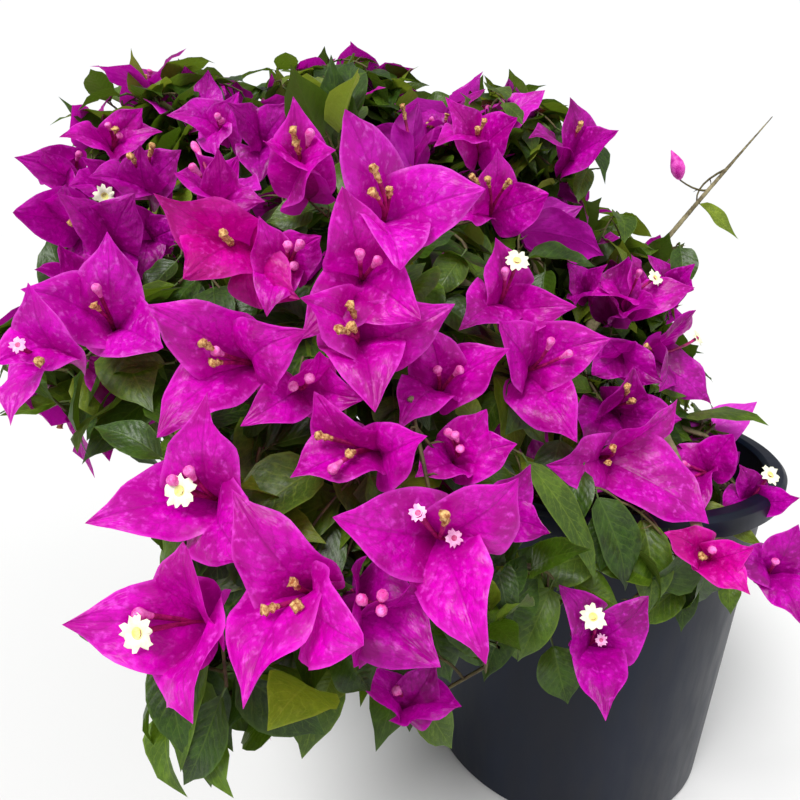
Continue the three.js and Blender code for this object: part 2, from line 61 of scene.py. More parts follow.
def length_of(vector: np.ndarray) -> float:
    """A vector's length."""
    return float(np.linalg.norm(vector))


def square_to(axis: np.ndarray) -> tuple[np.ndarray, np.ndarray]:
    """Two unit vectors square to an axis and to each other."""
    helper = UP if abs(axis[2]) < 0.9 else np.array([1.0, 0.0, 0.0])
    first = unit(np.cross(helper, axis))
    return first, np.cross(axis, first)


def spread_round(axis: np.ndarray, count: int, cosine: float, spin: float) -> np.ndarray:
    """Directions spread evenly over a cap round an axis, as far from it as the cosine says."""
    u, v = square_to(axis)
    index = np.arange(count)
    height = 1 - (1 - cosine) * (index + 0.5) / count
    side = np.sqrt(np.maximum(0, 1 - height * height))
    angle = index * GOLDEN_ANGLE + spin
    return np.outer(height, axis) + np.outer(side * np.cos(angle), u) + np.outer(side * np.sin(angle), v)


def linear(red: float, green: float, blue: float) -> tuple[float, float, float, float]:
    """A colour given as it looks, from 0 to 255, in the linear values that shaders use."""
    values = [c / 255 for c in (red, green, blue)]
    return tuple(c / 12.92 if c <= 0.04045 else ((c + 0.055) / 1.055) ** 2.4 for c in values) + (1.0,)


# The limbs and masses: the part's own rule.


@dataclass(frozen=True)
class PotSize:
    """The pot's real sizes."""

    height: float = 280 * MM
    foot_radius: float = 121 * MM
    shoulder_radius: float = 140 * MM
    rim_radius: float = 150 * MM
    rim_drop: float = 15 * MM
    rim_bead: float = 3 * MM
    rim_inset: float = 1.5 * MM
    foot_bead: float = 4 * MM
    wall: float = 2.6 * MM
    floor: float = 3.2 * MM
    below_rim: float = 40 * MM
    mound: float = 4 * MM
    rest_radius: float = 34 * MM

    def wall_radius(self, height: np.ndarray) -> np.ndarray:
        """The radius of the outer wall at a height."""
        return self.foot_radius + (self.shoulder_radius - self.foot_radius) * height / self.height

    def mix_top(self, radius: np.ndarray) -> np.ndarray:
        """The height of the potting mix at a distance from its middle."""
        fall = np.clip((radius - self.rest_radius) / (self.shoulder_radius - self.rest_radius), 0, 1)
        return self.height - self.below_rim + self.mound * (1 - fall * fall)

    def is_clear(self, points: np.ndarray, room: float) -> np.ndarray:
        """True for each point that stands clear of the pot, inside it or out."""
        radius = np.hypot(points[:, 0], points[:, 1])
        height = points[:, 2]
        beyond = np.where(height > self.height - 2 * self.rim_drop, self.rim_radius, self.wall_radius(height))
        outside = (radius > beyond + room) & (height > room)
        inner = self.wall_radius(height) - self.wall - self.rim_inset - room
        inside = (radius < inner) & (height > self.mix_top(radius) + room)
        return outside | inside | (height > self.height + room)


POT = PotSize()


@dataclass(frozen=True)
class Line:
    """A curve from a root past an elbow to a tip."""

    root: np.ndarray
    elbow: np.ndarray
    tip: np.ndarray

    def at(self, share: float) -> np.ndarray:
        """The point at a share of the curve."""
        return (1 - share) ** 2 * self.root + 2 * share * (1 - share) * self.elbow + share**2 * self.tip

    def heading(self, share: float) -> np.ndarray:
        """The way that the curve runs at a share of it."""
        return unit((1 - share) * (self.elbow - self.root) + share * (self.tip - self.elbow))

    def length(self) -> float:
        """About how long the curve is."""
        points = np.array([self.at(share) for share in np.linspace(0, 1, 12)])
        return float(np.linalg.norm(np.diff(points, axis=0), axis=1).sum())


@dataclass(frozen=True)
class Limb:
    """One tapering limb."""

    name: str
    line: Line
    root_radius: float
    tip_radius: float
    flare: float = 0.0

    def radius(self, share: float) -> float:
        """The limb's radius at a share of its length: a root flare dies away in its lowest third."""
        taper = self.root_radius + (self.tip_radius - self.root_radius) * share
        return taper + self.flare * max(0.0, 1 - 3 * share) ** 2


@dataclass(frozen=True)
class Mass:
    """A mass of blossom or leaves: its middle, its reach, and the limb that its bough grows out of."""

    name: str
    at: tuple[float, float, float]
    reach: tuple[float, float, float]
    grows_from: str
    fork_at: float
    lift: float

    @property
    def middle(self) -> np.ndarray:
        """The middle of the mass."""
        return np.array(self.at) * MM

    @property
    def spread(self) -> np.ndarray:
        """How far the mass reaches along X, Y and Z."""
        return np.array(self.reach) * MM

    @property
    def is_blossom(self) -> bool:
        """True for a mass that carries bracts."""
        return self.name.startswith("blossom")

    def reach_along(self, direction: np.ndarray) -> float:
        """How far the mass reaches from its middle along a direction."""
        return length_of(direction) / length_of(direction / self.spread)

    def nearness(self, points: np.ndarray) -> np.ndarray:
        """How far out each point lies: 0 at the middle and 1 at the limit of the reach."""
        return np.linalg.norm((points - self.middle) / self.spread, axis=-1)


# Each row: a name, the middle and reach in millimetres, what its bough grows out of and how far along, and
# how far the bough arches.
MASSES = tuple(Mass(*row) for row in (
    ("blossom_front", (-150, -192, 370), (112, 122, 102), "stem", 0.8, 26),
    ("blossom_left", (-338, -104, 396), (106, 118, 102), "stem", 0.62, 44),
    ("blossom_top_front", (-176, -92, 460), (104, 126, 96), "stem", 0.96, 18),
    ("blossom_right", (-30, -76, 372), (92, 96, 92), "stem", 0.7, 10),
    ("blossom_top_right", (-70, 50, 496), (88, 94, 83), "stem", 0.9, 22),
    ("blossom_right_back", (44, 122, 390), (88, 100, 94), "stem", 0.74, 26),
    ("blossom_back", (-122, 176, 424), (108, 98, 104), "stem", 0.84, 24),
    ("blossom_left_low", (-238, -226, 298), (104, 106, 94), "stem", 0.5, 74),
    ("blossom_right_low", (22, -186, 260), (98, 68, 74), "stem", 0.44, 112),
    ("blossom_rim", (50, -80, 312), (84, 72, 64), "stem", 0.36, 34),
    ("blossom_top_left", (-332, 40, 500), (108, 104, 90), "blossom_left", 0.5, 30),
    ("blossom_top_back", (-206, 104, 532), (98, 92, 84), "blossom_back", 0.5, 30),
    ("blossom_left_back", (-304, 150, 388), (108, 108, 100), "blossom_back", 0.34, 22),
    ("leaves_middle", (-120, -20, 380), (78, 74, 66), "blossom_top_front", 0.3, 4),
    ("leaves_front_low", (-112, -214, 246), (88, 62, 74), "blossom_left_low", 0.5, 34),
    ("leaves_left_inner", (-250, -60, 330), (84, 84, 64), "blossom_left", 0.4, 4),
    ("leaves_back_low", (-112, 172, 306), (112, 92, 66), "blossom_back", 0.2, 30),
    ("leaves_right_back", (78, 112, 314), (82, 78, 62), "blossom_right_back", 0.26, 22),
    ("long_shoot", (238, 256, 540), (112, 84, 84), "blossom_right_back", 0.6, 4),
))


class Framework:
    """The stem and boughs, as lines with radii, worked out by the part's rule."""

    stem_height = 84 * MM
    stem_radii = (12.5 * MM, 9 * MM)
    stem_flare = 8.5 * MM
    stem_lean = np.array([-16 * MM, -8 * MM])
    seat_gap = 0.3 * MM
    bough_radii = (6 * MM, 3.4 * MM)
    side_bough_radii = (4.6 * MM, 3 * MM)
    mass_stem_tip = 1.0 * MM
    mass_stem_elbow = 0.6
    elbow_share = 0.45
    entry_share = 0.55
    least_run = 0.4
    stem_share = 0.35
    long_share = 0.92
    heart = np.array([-110, 0, 320]) * MM

    def __init__(self) -> None:
        """Works out every limb, and each mass's own stem."""
        foot = float(POT.mix_top(np.array(0.0))) + self.seat_gap
        head = np.array([*self.stem_lean, foot + self.stem_height])
        line = Line(np.array([0, 0, foot]), np.array([0, 0, foot + self.stem_height / 2]), head)
        self.limbs = {"stem": Limb("main_stem", line, *self.stem_radii, flare=self.stem_flare)}
        for mass in MASSES:
            self.limbs[mass.name] = self.bough(mass)
        self.mass_stems = {mass.name: self.mass_stem(mass) for mass in MASSES}

    def bough(self, mass: Mass) -> Limb:
        """The bough that carries a mass, from what it grows out of to where it enters the mass."""
        root = self.limbs[mass.grows_from].line.at(mass.fork_at)
        elbow = root + (mass.middle - root) * self.elbow_share + UP * mass.lift * MM
        run = length_of(mass.middle - elbow)
        back = self.entry_share * mass.reach_along(mass.middle - elbow)
        tip = elbow + (mass.middle - elbow) * max(self.least_run, 1 - back / run)
        radii = self.bough_radii if mass.grows_from == "stem" else self.side_bough_radii
        return Limb(f"bough_{mass.name}", Line(root, elbow, tip), *radii)

    def facing(self, mass: Mass) -> np.ndarray:
        """The way that a mass looks: away from the crown's heart, or along its bough for the long shoot."""
        if mass.name.startswith("long"):
            return self.limbs[mass.name].line.heading(1.0)
        return unit(mass.middle - self.heart)

    def mass_stem(self, mass: Mass) -> Limb:
        """A mass's own stem, which carries its bough on into it."""
        bough = self.limbs[mass.name]
        heading = bough.line.heading(1.0)
        start = bough.line.tip
        facing = self.facing(mass)
        share = self.long_share if mass.name.startswith("long") else self.stem_share
        end = mass.middle + facing * share * mass.reach_along(facing)
        elbow = start + heading * length_of(mass.middle - start) * self.mass_stem_elbow
        return Limb(f"stem_{mass.name}", Line(start, elbow, end), bough.tip_radius, self.mass_stem_tip)


# The camera, and the sprays and leaves that the picture shows.


class PhotoCamera:
    """The camera at the picture's viewing angle: it turns picture points into places."""

    place = np.array([-0.155, -0.483, 0.454])
    down = math.radians(16)
    focal = 600.0
    centre = 400.0
    picture = 800.0
    sensor = 36.0
    across = np.array([1.0, 0.0, 0.0])
    ahead = np.array([0.0, math.cos(down), -math.sin(down)])
    upward = np.array([0.0, math.sin(down), math.cos(down)])

    def ray(self, u: float, v: float) -> np.ndarray:
        """The way to a picture point, one metre deep."""
        right, below = (u - self.centre) / self.focal, (v - self.centre) / self.focal
        return self.ahead + self.across * right - self.upward * below

    def point(self, u: float, v: float, depth: float) -> np.ndarray:
        """The place at a picture point, that deep."""
        return self.place + self.ray(u, v) * depth

    def reach(self, base: np.ndarray, u: float, v: float, length: float, away: bool = False) -> np.ndarray:
        """The place at a picture point that is a length from a base, on its near side or its far side."""
        ray, back = self.ray(u, v), self.place - base
        a, b, c = ray @ ray, 2 * ray @ back, back @ back - length * length
        spare = math.sqrt(max(0.0, b * b - 4 * a * c))
        return self.place + ray * (-b + (spare if away else -spare)) / (2 * a)

    def picture_of(self, points: np.ndarray) -> np.ndarray:
        """The picture point and depth of each place."""
        offset = points - self.place
        depth = np.maximum(offset @ self.ahead, 1e-3)
        u = self.centre + self.focal * (offset @ self.across) / depth
        v = self.centre - self.focal * (offset @ self.upward) / depth
        return np.stack([u, v, depth], axis=-1)

    def add(self) -> None:
        """Adds the camera to the scene."""
        bpy.ops.object.camera_add(location=self.place, rotation=(math.pi / 2 - self.down, 0, 0))
        camera = bpy.context.object
        camera.name = "photo_camera"
        camera.data.sensor_width = self.sensor
        camera.data.lens = self.sensor * self.focal / self.picture
        camera.data.clip_start = 0.01
        bpy.context.scene.camera = camera


CAMERA = PhotoCamera()


class Bloom(Enum):
    """How far a flower has come."""

    BUD = 0
    STAR = 1
    DRY = 2
    OPENING = 3


class Tint(Enum):
    """The colour that a spray of bracts is dealt."""

    BRIGHT = 0
    DEEP = 1
    RED = 2
    PALE = 3


class Green(Enum):
    """The colour that a leaf is dealt."""

    DARK = 0
    MID = 1
    YOUNG = 2


@dataclass(frozen=True)
class SeenSpray:
    """A spray that the picture shows: its base and its bracts' tips as picture points, and its depth."""

    base: tuple[float, float]
    depth: float
    tips: tuple[tuple[float, float], ...]
    blooms: tuple[tuple[float, float, Bloom], ...] = ()
    tint: Tint = Tint.BRIGHT
    away: bool = False

    least_length = 38 * MM
    most_length = 58 * MM
    lean_over = 1.16

    def bract_length(self) -> float:
        """How long its bracts are: a little over the longest that shows, as none lies square to the view."""
        seen = max(math.dist(self.base, tip) for tip in self.tips) * self.depth / CAMERA.focal
        return float(np.clip(self.lean_over * seen, self.least_length, self.most_length))


@dataclass(frozen=True)
class SeenLeaf:
    """A leaf that the picture shows: its foot and tip as picture points, its depth, width and colour."""

    foot: tuple[float, float]
    tip: tuple[float, float]
    depth: float
    width: float
    tint: Green = Green.DARK


BUD, STAR, DRY, OPENING = Bloom.BUD, Bloom.STAR, Bloom.DRY, Bloom.OPENING
DEEP, RED, PALE = Tint.DEEP, Tint.RED, Tint.PALE
MID, YOUNG = Green.MID, Green.YOUNG
# Each row: a base, its depth and its tips, then its flowers and their state, its tint, and if it looks away.
SEEN_SPRAYS = tuple(SeenSpray(*row) for row in (
    ((438, 535), 0.25, ((521, 486), (481, 655), (334, 520)),
     ((418, 513, OPENING), (446, 513, DRY), (454, 538, OPENING))),
    ((322, 592), 0.24, ((232, 499), (240, 702), (358, 642)),
     ((262, 611, DRY), (292, 582, DRY), (296, 606, DRY))),
    ((218, 620), 0.245, ((65, 619), (178, 545), (170, 712)), ((138, 633, STAR), (133, 613, BUD))),
    ((225, 500), 0.265, ((204, 408), (93, 517), (246, 560)),
     ((180, 491, STAR), (187, 468, BUD), (168, 478, BUD))),
    ((352, 590), 0.268, ((443, 668), (412, 588), (352, 664)),
     ((360, 598, BUD), (383, 593, BUD), (382, 610, BUD)), DEEP),
    ((488, 512), 0.31, ((552, 531), (530, 470), (470, 565)), (), DEEP),
    ((380, 452), 0.28, ((290, 478), (316, 396), (414, 437)),
     ((315, 435, DRY), (348, 455, DRY), (330, 472, BUD))),
    ((452, 464), 0.31, ((488, 410), (422, 470), (517, 442)),
     ((446, 430, BUD), (454, 433, BUD), (460, 448, BUD))),
    ((300, 388), 0.275, ((357, 401), (246, 421), (322, 350)), ((292, 386, BUD), (310, 377, BUD))),
    ((258, 364), 0.275, ((150, 306), (155, 432), (296, 330)),
     ((200, 342, DRY), (213, 350, BUD), (211, 363, DRY))),
    ((352, 345), 0.29, ((450, 313), (376, 393), (308, 300)),
     ((349, 303, DRY), (337, 328, DRY), (350, 325, DRY))),
    ((438, 400), 0.32, ((426, 325), (509, 350), (403, 414)), ((437, 368, BUD), (462, 368, BUD))),
    ((363, 280), 0.285, ((345, 188), (420, 318), (304, 335)), ((360, 250, BUD), (380, 258, BUD))),
    ((380, 226), 0.29, ((345, 108), (484, 187), (404, 264)),
     ((372, 165, DRY), (389, 187, DRY), (371, 190, DRY)), PALE),
    ((291, 272), 0.30, ((260, 222), (268, 310), (320, 234)),
     ((288, 243, BUD), (302, 242, BUD), (295, 266, BUD))),
    ((497, 308), 0.36, ((500, 242), (570, 303), (466, 320)), ((517, 261, STAR), (505, 268, BUD))),
    ((522, 372), 0.36, ((609, 336), (576, 432), (496, 322)), ((552, 338, BUD), (572, 352, BUD))),
    ((70, 362), 0.30, ((25, 292), (2, 418), (-8, 366)), ((18, 345, OPENING), (40, 362, DRY)), PALE),
    ((115, 332), 0.32, ((110, 240), (34, 284), (160, 350)), ((93, 305, DRY), (95, 285, BUD)), PALE),
    ((250, 247), 0.31, ((160, 198), (182, 275), (292, 300)), ((222, 232, DRY), (228, 240, DRY)), RED),
    ((216, 212), 0.345, ((262, 200), (176, 170), (222, 152)), ((193, 143, BUD), (190, 165, BUD))),
    ((112, 252), 0.36, ((65, 196), (131, 195), (122, 288)), (), DEEP),
    ((152, 240), 0.38, ((118, 203), (184, 226), (142, 278)), (), DEEP),
    ((88, 222), 0.37, ((12, 213), (68, 190), (94, 275)), ((72, 222, DRY), (75, 210, BUD)), DEEP),
    ((150, 200), 0.38, ((182, 150), (136, 148), (90, 173)), ((153, 143, DRY), (130, 155, DRY)), DEEP),
    ((112, 153), 0.43, ((143, 107), (66, 131), (156, 128)),
     ((107, 123, BUD), (115, 128, DRY), (120, 135, BUD))),
    ((85, 178), 0.45, ((43, 148), (24, 160), (72, 192)), ((80, 152, BUD),), DEEP),
    ((228, 136), 0.42, ((174, 114), (232, 98), (213, 150)), ((218, 115, BUD), (222, 120, BUD)), PALE),
    ((262, 150), 0.40, ((229, 102), (290, 104), (262, 180)), (), DEEP),
    ((309, 200), 0.325, ((296, 107), (262, 141), (328, 147)),
     ((292, 128, DRY), (296, 142, DRY), (311, 130, BUD))),
    ((412, 170), 0.40, ((372, 126), (442, 138), (418, 100)), ((402, 104, DRY),), DEEP, True),
    ((490, 216), 0.40, ((551, 195), (440, 218), (500, 150)),
     ((470, 175, DRY), (487, 178, DRY), (510, 180, DRY))),
    ((478, 160), 0.43, ((452, 101), (520, 118), (440, 135)), ((478, 128, DRY), (485, 120, DRY))),
    ((520, 232), 0.42, ((582, 207), (605, 252), (506, 196)), (), DEEP, True),
    ((562, 172), 0.46, ((572, 98), (620, 133), (537, 128)), ((582, 122, DRY),), DEEP),
    ((620, 312), 0.50, ((632, 252), (693, 286), (597, 290)), ((655, 278, STAR), (640, 270, BUD))),
    ((640, 352), 0.47, ((694, 308), (668, 387), (713, 402)), ((697, 338, STAR), (645, 345, DRY)), DEEP),
    ((603, 402), 0.42, ((590, 448), (681, 418), (640, 376)), ((628, 385, DRY), (633, 400, DRY)), DEEP),
    ((598, 457), 0.38, ((683, 406), (711, 521), (551, 468)), ((612, 447, DRY), (607, 463, DRY))),
    ((708, 474), 0.42, ((735, 433), (655, 458), (700, 512)), ((682, 463, BUD), (683, 485, OPENING))),
    ((752, 500), 0.42, ((745, 468), (797, 500), (725, 506)), ((770, 475, STAR),), DEEP),
    ((705, 560), 0.34, ((752, 548), (670, 532), (747, 592)), ((712, 549, BUD), (702, 556, DRY)), RED),
    ((765, 575), 0.38, ((738, 557), (803, 622), (797, 524)), ((776, 560, BUD),), DEEP),
    ((586, 645), 0.35, ((650, 600), (607, 712), (571, 588)), ((593, 617, STAR), (601, 640, OPENING)), DEEP),
    ((400, 712), 0.29, ((358, 676), (462, 704), (437, 660)), ((395, 690, BUD),), DEEP),
    ((622, 352), 0.405, ((590, 374), (662, 384), (606, 338)), (), DEEP),
    ((668, 302), 0.53, ((652, 256), (695, 290), (690, 264)), (), DEEP),
    ((612, 326), 0.50, ((630, 256), (599, 282), (654, 300)), (), DEEP),
    ((588, 300), 0.49, ((571, 262), (602, 266), (574, 298)), (), DEEP),
    ((110, 204), 0.42, ((84, 158), (132, 162), (72, 184)), ((105, 196, STAR),), DEEP),
    ((226, 208), 0.37, ((194, 152), (258, 184), (236, 158)), (), PALE),
    ((84, 298), 0.345, ((36, 266), (58, 246), (100, 262)), (), DEEP),
))
# Each row: a foot, a tip, the depth, the width in millimetres, and the tint.
SEEN_LEAVES = tuple(SeenLeaf(*row) for row in (
    ((184, 374), (76, 462), 0.325, 27),
    ((128, 382), (88, 442), 0.34, 22),
    ((165, 364), (108, 372), 0.315, 15, MID),
    ((176, 398), (171, 454), 0.33, 14),
    ((302, 318), (242, 298), 0.31, 22),
    ((268, 418), (246, 502), 0.31, 27),
    ((286, 428), (297, 492), 0.31, 22),
    ((290, 502), (262, 476), 0.305, 18, MID),
    ((393, 396), (392, 442), 0.315, 22, MID),
    ((421, 428), (414, 468), 0.325, 14),
    ((312, 210), (266, 224), 0.33, 20, MID),
    ((462, 256), (434, 298), 0.345, 20, MID),
    ((414, 252), (458, 232), 0.345, 26),
    ((438, 302), (482, 334), 0.345, 26),
    ((442, 332), (502, 346), 0.35, 20),
    ((528, 258), (596, 266), 0.38, 25),
    ((545, 272), (549, 316), 0.375, 20),
    ((588, 168), (577, 204), 0.45, 14, MID),
    ((503, 103), (524, 124), 0.42, 14, MID),
    ((500, 394), (549, 414), 0.37, 22),
    ((512, 408), (549, 448), 0.365, 18, MID),
    ((545, 382), (562, 432), 0.38, 20),
    ((527, 462), (602, 586), 0.33, 18, MID),
    ((560, 440), (548, 512), 0.355, 24),
    ((404, 384), (372, 424), 0.33, 26),
    ((428, 398), (446, 448), 0.335, 26),
    ((176, 262), (142, 302), 0.345, 24),
    ((196, 280), (170, 320), 0.34, 24),
    ((226, 296), (252, 330), 0.33, 22),
    ((582, 470), (566, 540), 0.35, 22),
    ((612, 512), (600, 572), 0.35, 24),
    ((520, 500), (500, 566), 0.335, 22),
    ((598, 498), (629, 593), 0.345, 27),
    ((642, 520), (649, 619), 0.36, 24, MID),
    ((672, 540), (655, 600), 0.375, 27),
    ((682, 562), (683, 633), 0.38, 18),
    ((729, 574), (731, 615), 0.385, 14, MID),
    ((592, 556), (526, 580), 0.345, 29, MID),
    ((572, 582), (621, 608), 0.35, 22, MID),
    ((550, 588), (518, 664), 0.33, 20, MID),
    ((553, 646), (568, 704), 0.345, 27),
    ((538, 572), (496, 601), 0.335, 26, MID),
    ((506, 612), (482, 681), 0.315, 20),
    ((426, 612), (452, 684), 0.335, 26),
    ((340, 650), (370, 692), 0.275, 28),
    ((338, 664), (322, 704), 0.275, 18, YOUNG),
    ((424, 664), (390, 692), 0.30, 22),
    ((704, 503), (764, 548), 0.40, 13, YOUNG),
    ((792, 545), (799, 604), 0.385, 20, YOUNG),
    ((652, 384), (694, 396), 0.455, 18, MID),
    ((652, 424), (692, 442), 0.435, 20, MID),
    ((680, 248), (684, 292), 0.52, 24),
    ((700, 204), (738, 240), 0.66, 22, YOUNG),
    ((424, 114), (456, 96), 0.5, 26, MID),
))
# The closed spray on the long shoot: its foot and tip as picture points, and how deep it lies.
SHOOT_BUD = ((680, 180), (671, 150), 0.66)
# Circles of the picture, as (across, down, radius), where the air is open between and beside the sprays.
OPEN_AIR = (
    (20, 500, 62), (30, 600, 48), (40, 668, 48), (106, 690, 42), (96, 570, 34), (142, 562, 24),
    (132, 482, 28), (20, 445, 30), (88, 522, 36), (62, 430, 15), (8, 136, 24), (14, 222, 20), (6, 262, 32),
    (-20, 290, 42), (10, 302, 22), (648, 190, 30), (700, 130, 34), (746, 300, 58), (738, 384, 24),
    (706, 244, 20), (776, 364, 34), (745, 440, 22), (745, 640, 46), (700, 650, 40), (640, 668, 26),
    (790, 668, 50), (765, 140, 62), (720, 190, 30), (640, 240, 12), (452, 660, 26), (468, 706, 36),
    (522, 712, 34), (530, 636, 12), (578, 740, 26), (520, 770, 40), (640, 730, 40),
)


# Blades: bracts and leaves, each a fine sheet with its own outline.


@dataclass(frozen=True)
class BladeShape:
    """The form of a bract or leaf, in shares of its length or width.

    widest is where it is widest, base how wide it starts, full and point how full it stays beyond and how
    drawn out its tip is. bow is how far it arches to its face, and cup how far its sides stand up near its
    base. fold is how far its halves meet at an angle, and puff how far each half bulges. crumple and wave are
    how uneven it and its margin are, ripples how many waves a margin has, and recurve how far its tip bends
    back.
    """

    rows: int
    columns: int
    widest: float
    base: float
    full: float
    point: float
    bow: float
    cup: float
    fold: float
    puff: float
    crumple: float
    wave: float
    ripples: float
    recurve: float

    drawn_from = 0.55
    drawn_over = 0.4

    def outline(self, along: np.ndarray) -> np.ndarray:
        """The half width at each share of the length, as a share of the greatest."""
        rise = self.base + (1 - self.base) * np.sqrt(np.clip(1 - (1 - along / self.widest) ** 2, 0, 1))
        past = np.clip((along - self.widest) / (1 - self.widest), 0, 1)
        drawn = np.clip((past - self.drawn_from) / self.drawn_over, 0, 1)
        fall = np.cos(math.pi / 2 * past) ** self.full * (1 - self.point * drawn * drawn * (3 - 2 * drawn))
        return np.where(along < self.widest, rise, fall)


@dataclass
class BladeField:
    """Many blades of one shape, joined into one mesh."""

    name: str
    shape: BladeShape
    seed: int
    roots: list = field(default_factory=list)
    alongs: list = field(default_factory=list)
    faces_to: list = field(default_factory=list)
    sizes: list = field(default_factory=list)
    tints: list = field(default_factory=list)
    chances: list = field(default_factory=list)

    def __post_init__(self) -> None:
        """Starts the draw that makes each blade uneven in its own way."""
        self.draw = np.random.default_rng(self.seed)
        along = np.linspace(0, 1, self.shape.rows + 1)
        across = np.linspace(-1, 1, self.shape.columns + 1)
        self.t, self.s = (share.ravel()[None, :] for share in np.meshgrid(along, across, indexing="ij"))

    def add(self, root: np.ndarray, tip: np.ndarray, facing: np.ndarray, width: float, tint: Enum,
            roll: float = 0.0) -> None:
        """Adds a blade.

        Args:
            root: Where it starts.
            tip: Where it ends.
            facing: The way that its face looks.
            width: Its greatest width in metres.
            tint: The colour that it is dealt.
            roll: How far it is turned about its own length, in radians.
        """
        along = unit(tip - root)
        normal = unit(facing - along * (facing @ along))
        normal = normal * math.cos(roll) + np.cross(along, normal) * math.sin(roll)
        self.roots.append(root)
        self.alongs.append(along)
        self.faces_to.append(normal)
        self.sizes.append((length_of(tip - root), width))
        self.tints.append(tint.value)
        self.chances.append(self.draw.random(16))

    def surface(self, first: int) -> tuple[np.ndarray, np.ndarray, np.ndarray]:
        """How far each corner lies along, across and forward of its blade, from the first blade on."""
        shape, t, s = self.shape, self.t, self.s
        chance = np.array(self.chances[first:]).T[..., None]

        def vary(index: int, low: float, high: float) -> np.ndarray:
            """A number between two others for each blade, by one of its own chances."""
            return low + (high - low) * chance[index]

        length, width = (column[:, None] for column in np.array(self.sizes[first:]).T)
        half, side = width / 2 * shape.outline(t), np.abs(s)
        end = np.clip((t - 0.68) / 0.32, 0, 1) ** 2
        middle = shape.bow * vary(0, 0.45, 1.55) * length * 4 * t * (1 - t) ** 1.25
        middle = middle - shape.recurve * vary(1, -0.3, 1.2) * length * end
        cup = shape.cup * vary(2, 0.5, 1.5) * s * s * (1 - 1.45 * t)
        fold = shape.fold * vary(14, -0.3, 1.2) * side * (1 - 0.6 * t)
        puff = shape.puff * width * vary(3, 0.4, 1.6) * 4 * side * (1 - side) * np.sin(math.pi * t)
        lumps = sum(
            size * np.sin(2 * math.pi * (rise * t + over * s + chance[4 + k]))
            for k, (size, rise, over) in enumerate(((1.0, 1.1, 0.5), (0.7, 1.9, -0.8), (0.45, 2.6, 1.3))))
        lumps = shape.crumple * width * lumps * (0.25 + 0.75 * side) * np.sin(math.pi * t) ** 0.5
        turns = shape.ripples * vary(7, 0.7, 1.3) * t + np.where(s < 0, chance[8], chance[9])
        wave = shape.wave * width * np.sin(2 * math.pi * turns) * side**2.4 * np.sin(math.pi * t) ** 0.5
        rise = half * (cup + fold) + puff + lumps + wave
        twist = vary(10, -0.35, 0.35) * t * t
        bend = length * (vary(11, -0.05, 0.05) * np.sin(math.pi * t) + vary(12, -0.035, 0.035) * end)
        across = half * s * (1 + vary(13, -0.08, 0.08) * np.sign(s))
        return (length * t, across * np.cos(twist) - rise * np.sin(twist) + bend,
                middle + rise * np.cos(twist) + across * np.sin(twist))

    def corners(self, first: int = 0) -> np.ndarray:
        """The corners of the blades from the first on, one row a blade."""
        x, y, z = self.surface(first)
        along, normal = np.array(self.alongs[first:])[:, None, :], np.array(self.faces_to[first:])[:, None, :]
        corners = np.array(self.roots[first:])[:, None, :] + x[..., None] * along + z[..., None] * normal
        return corners + y[..., None] * np.cross(normal, along)

    def build(self, materials: list[bpy.types.Material]) -> bpy.types.Object:
        """The joined mesh of all the blades, with the share across and along each as its UV."""
        shape, count = self.shape, len(self.roots)
        t, s = self.t, self.s
        row, column = np.meshgrid(np.arange(shape.rows), np.arange(shape.columns), indexing="ij")
        first = (row * (shape.columns + 1) + column).ravel()
        face = np.stack([first, first + shape.columns + 1, first + shape.columns + 2, first + 1], axis=-1)
        faces = face[None] + (np.arange(count) * t.size)[:, None, None]
        uv = np.broadcast_to(np.stack([s * 0.5 + 0.5, t], axis=-1), (count, t.size, 2)).reshape(-1, 2)
        tints = np.repeat(np.array(self.tints), len(face))
        corners = self.corners().reshape(-1, 3)
        return mesh_object(self.name, corners, faces.reshape(-1, 4), materials, tints, uv)


def mesh_object(
    name: str,
    corners: np.ndarray,
    faces: np.ndarray,
    materials: list[bpy.types.Material],
    tints: np.ndarray | None = None,
    uv: np.ndarray | None = None,
) -> bpy.types.Object:
    """A smooth mesh object from arrays.

    Args:
        name: The object's name.
        corners: Its corners in metres.
        faces: The corners of each face, all of one count.
        materials: Its materials.
        tints: The index of each face's material.
        uv: The UV place of each corner.

    Returns:
        The object, linked to the scene.
    """
    mesh = bpy.data.meshes.new(name)
    mesh.from_pydata(corners.tolist(), [], faces.tolist())
    for material in materials:
        mesh.materials.append(material)
    if tints is not None:
        mesh.polygons.foreach_set("material_index", tints.astype(np.int32))
    if uv is not None:
        corner_of = np.empty(len(mesh.loops), np.int32)
        mesh.loops.foreach_get("vertex_index", corner_of)
        mesh.uv_layers.new(name="UVMap").data.foreach_set("uv", uv[corner_of].astype(np.float32).ravel())
    mesh.polygons.foreach_set("use_smooth", np.ones(len(mesh.polygons), bool))
    mesh.update()
    piece = bpy.data.objects.new(name, mesh)
    bpy.context.collection.objects.link(piece)
    return piece


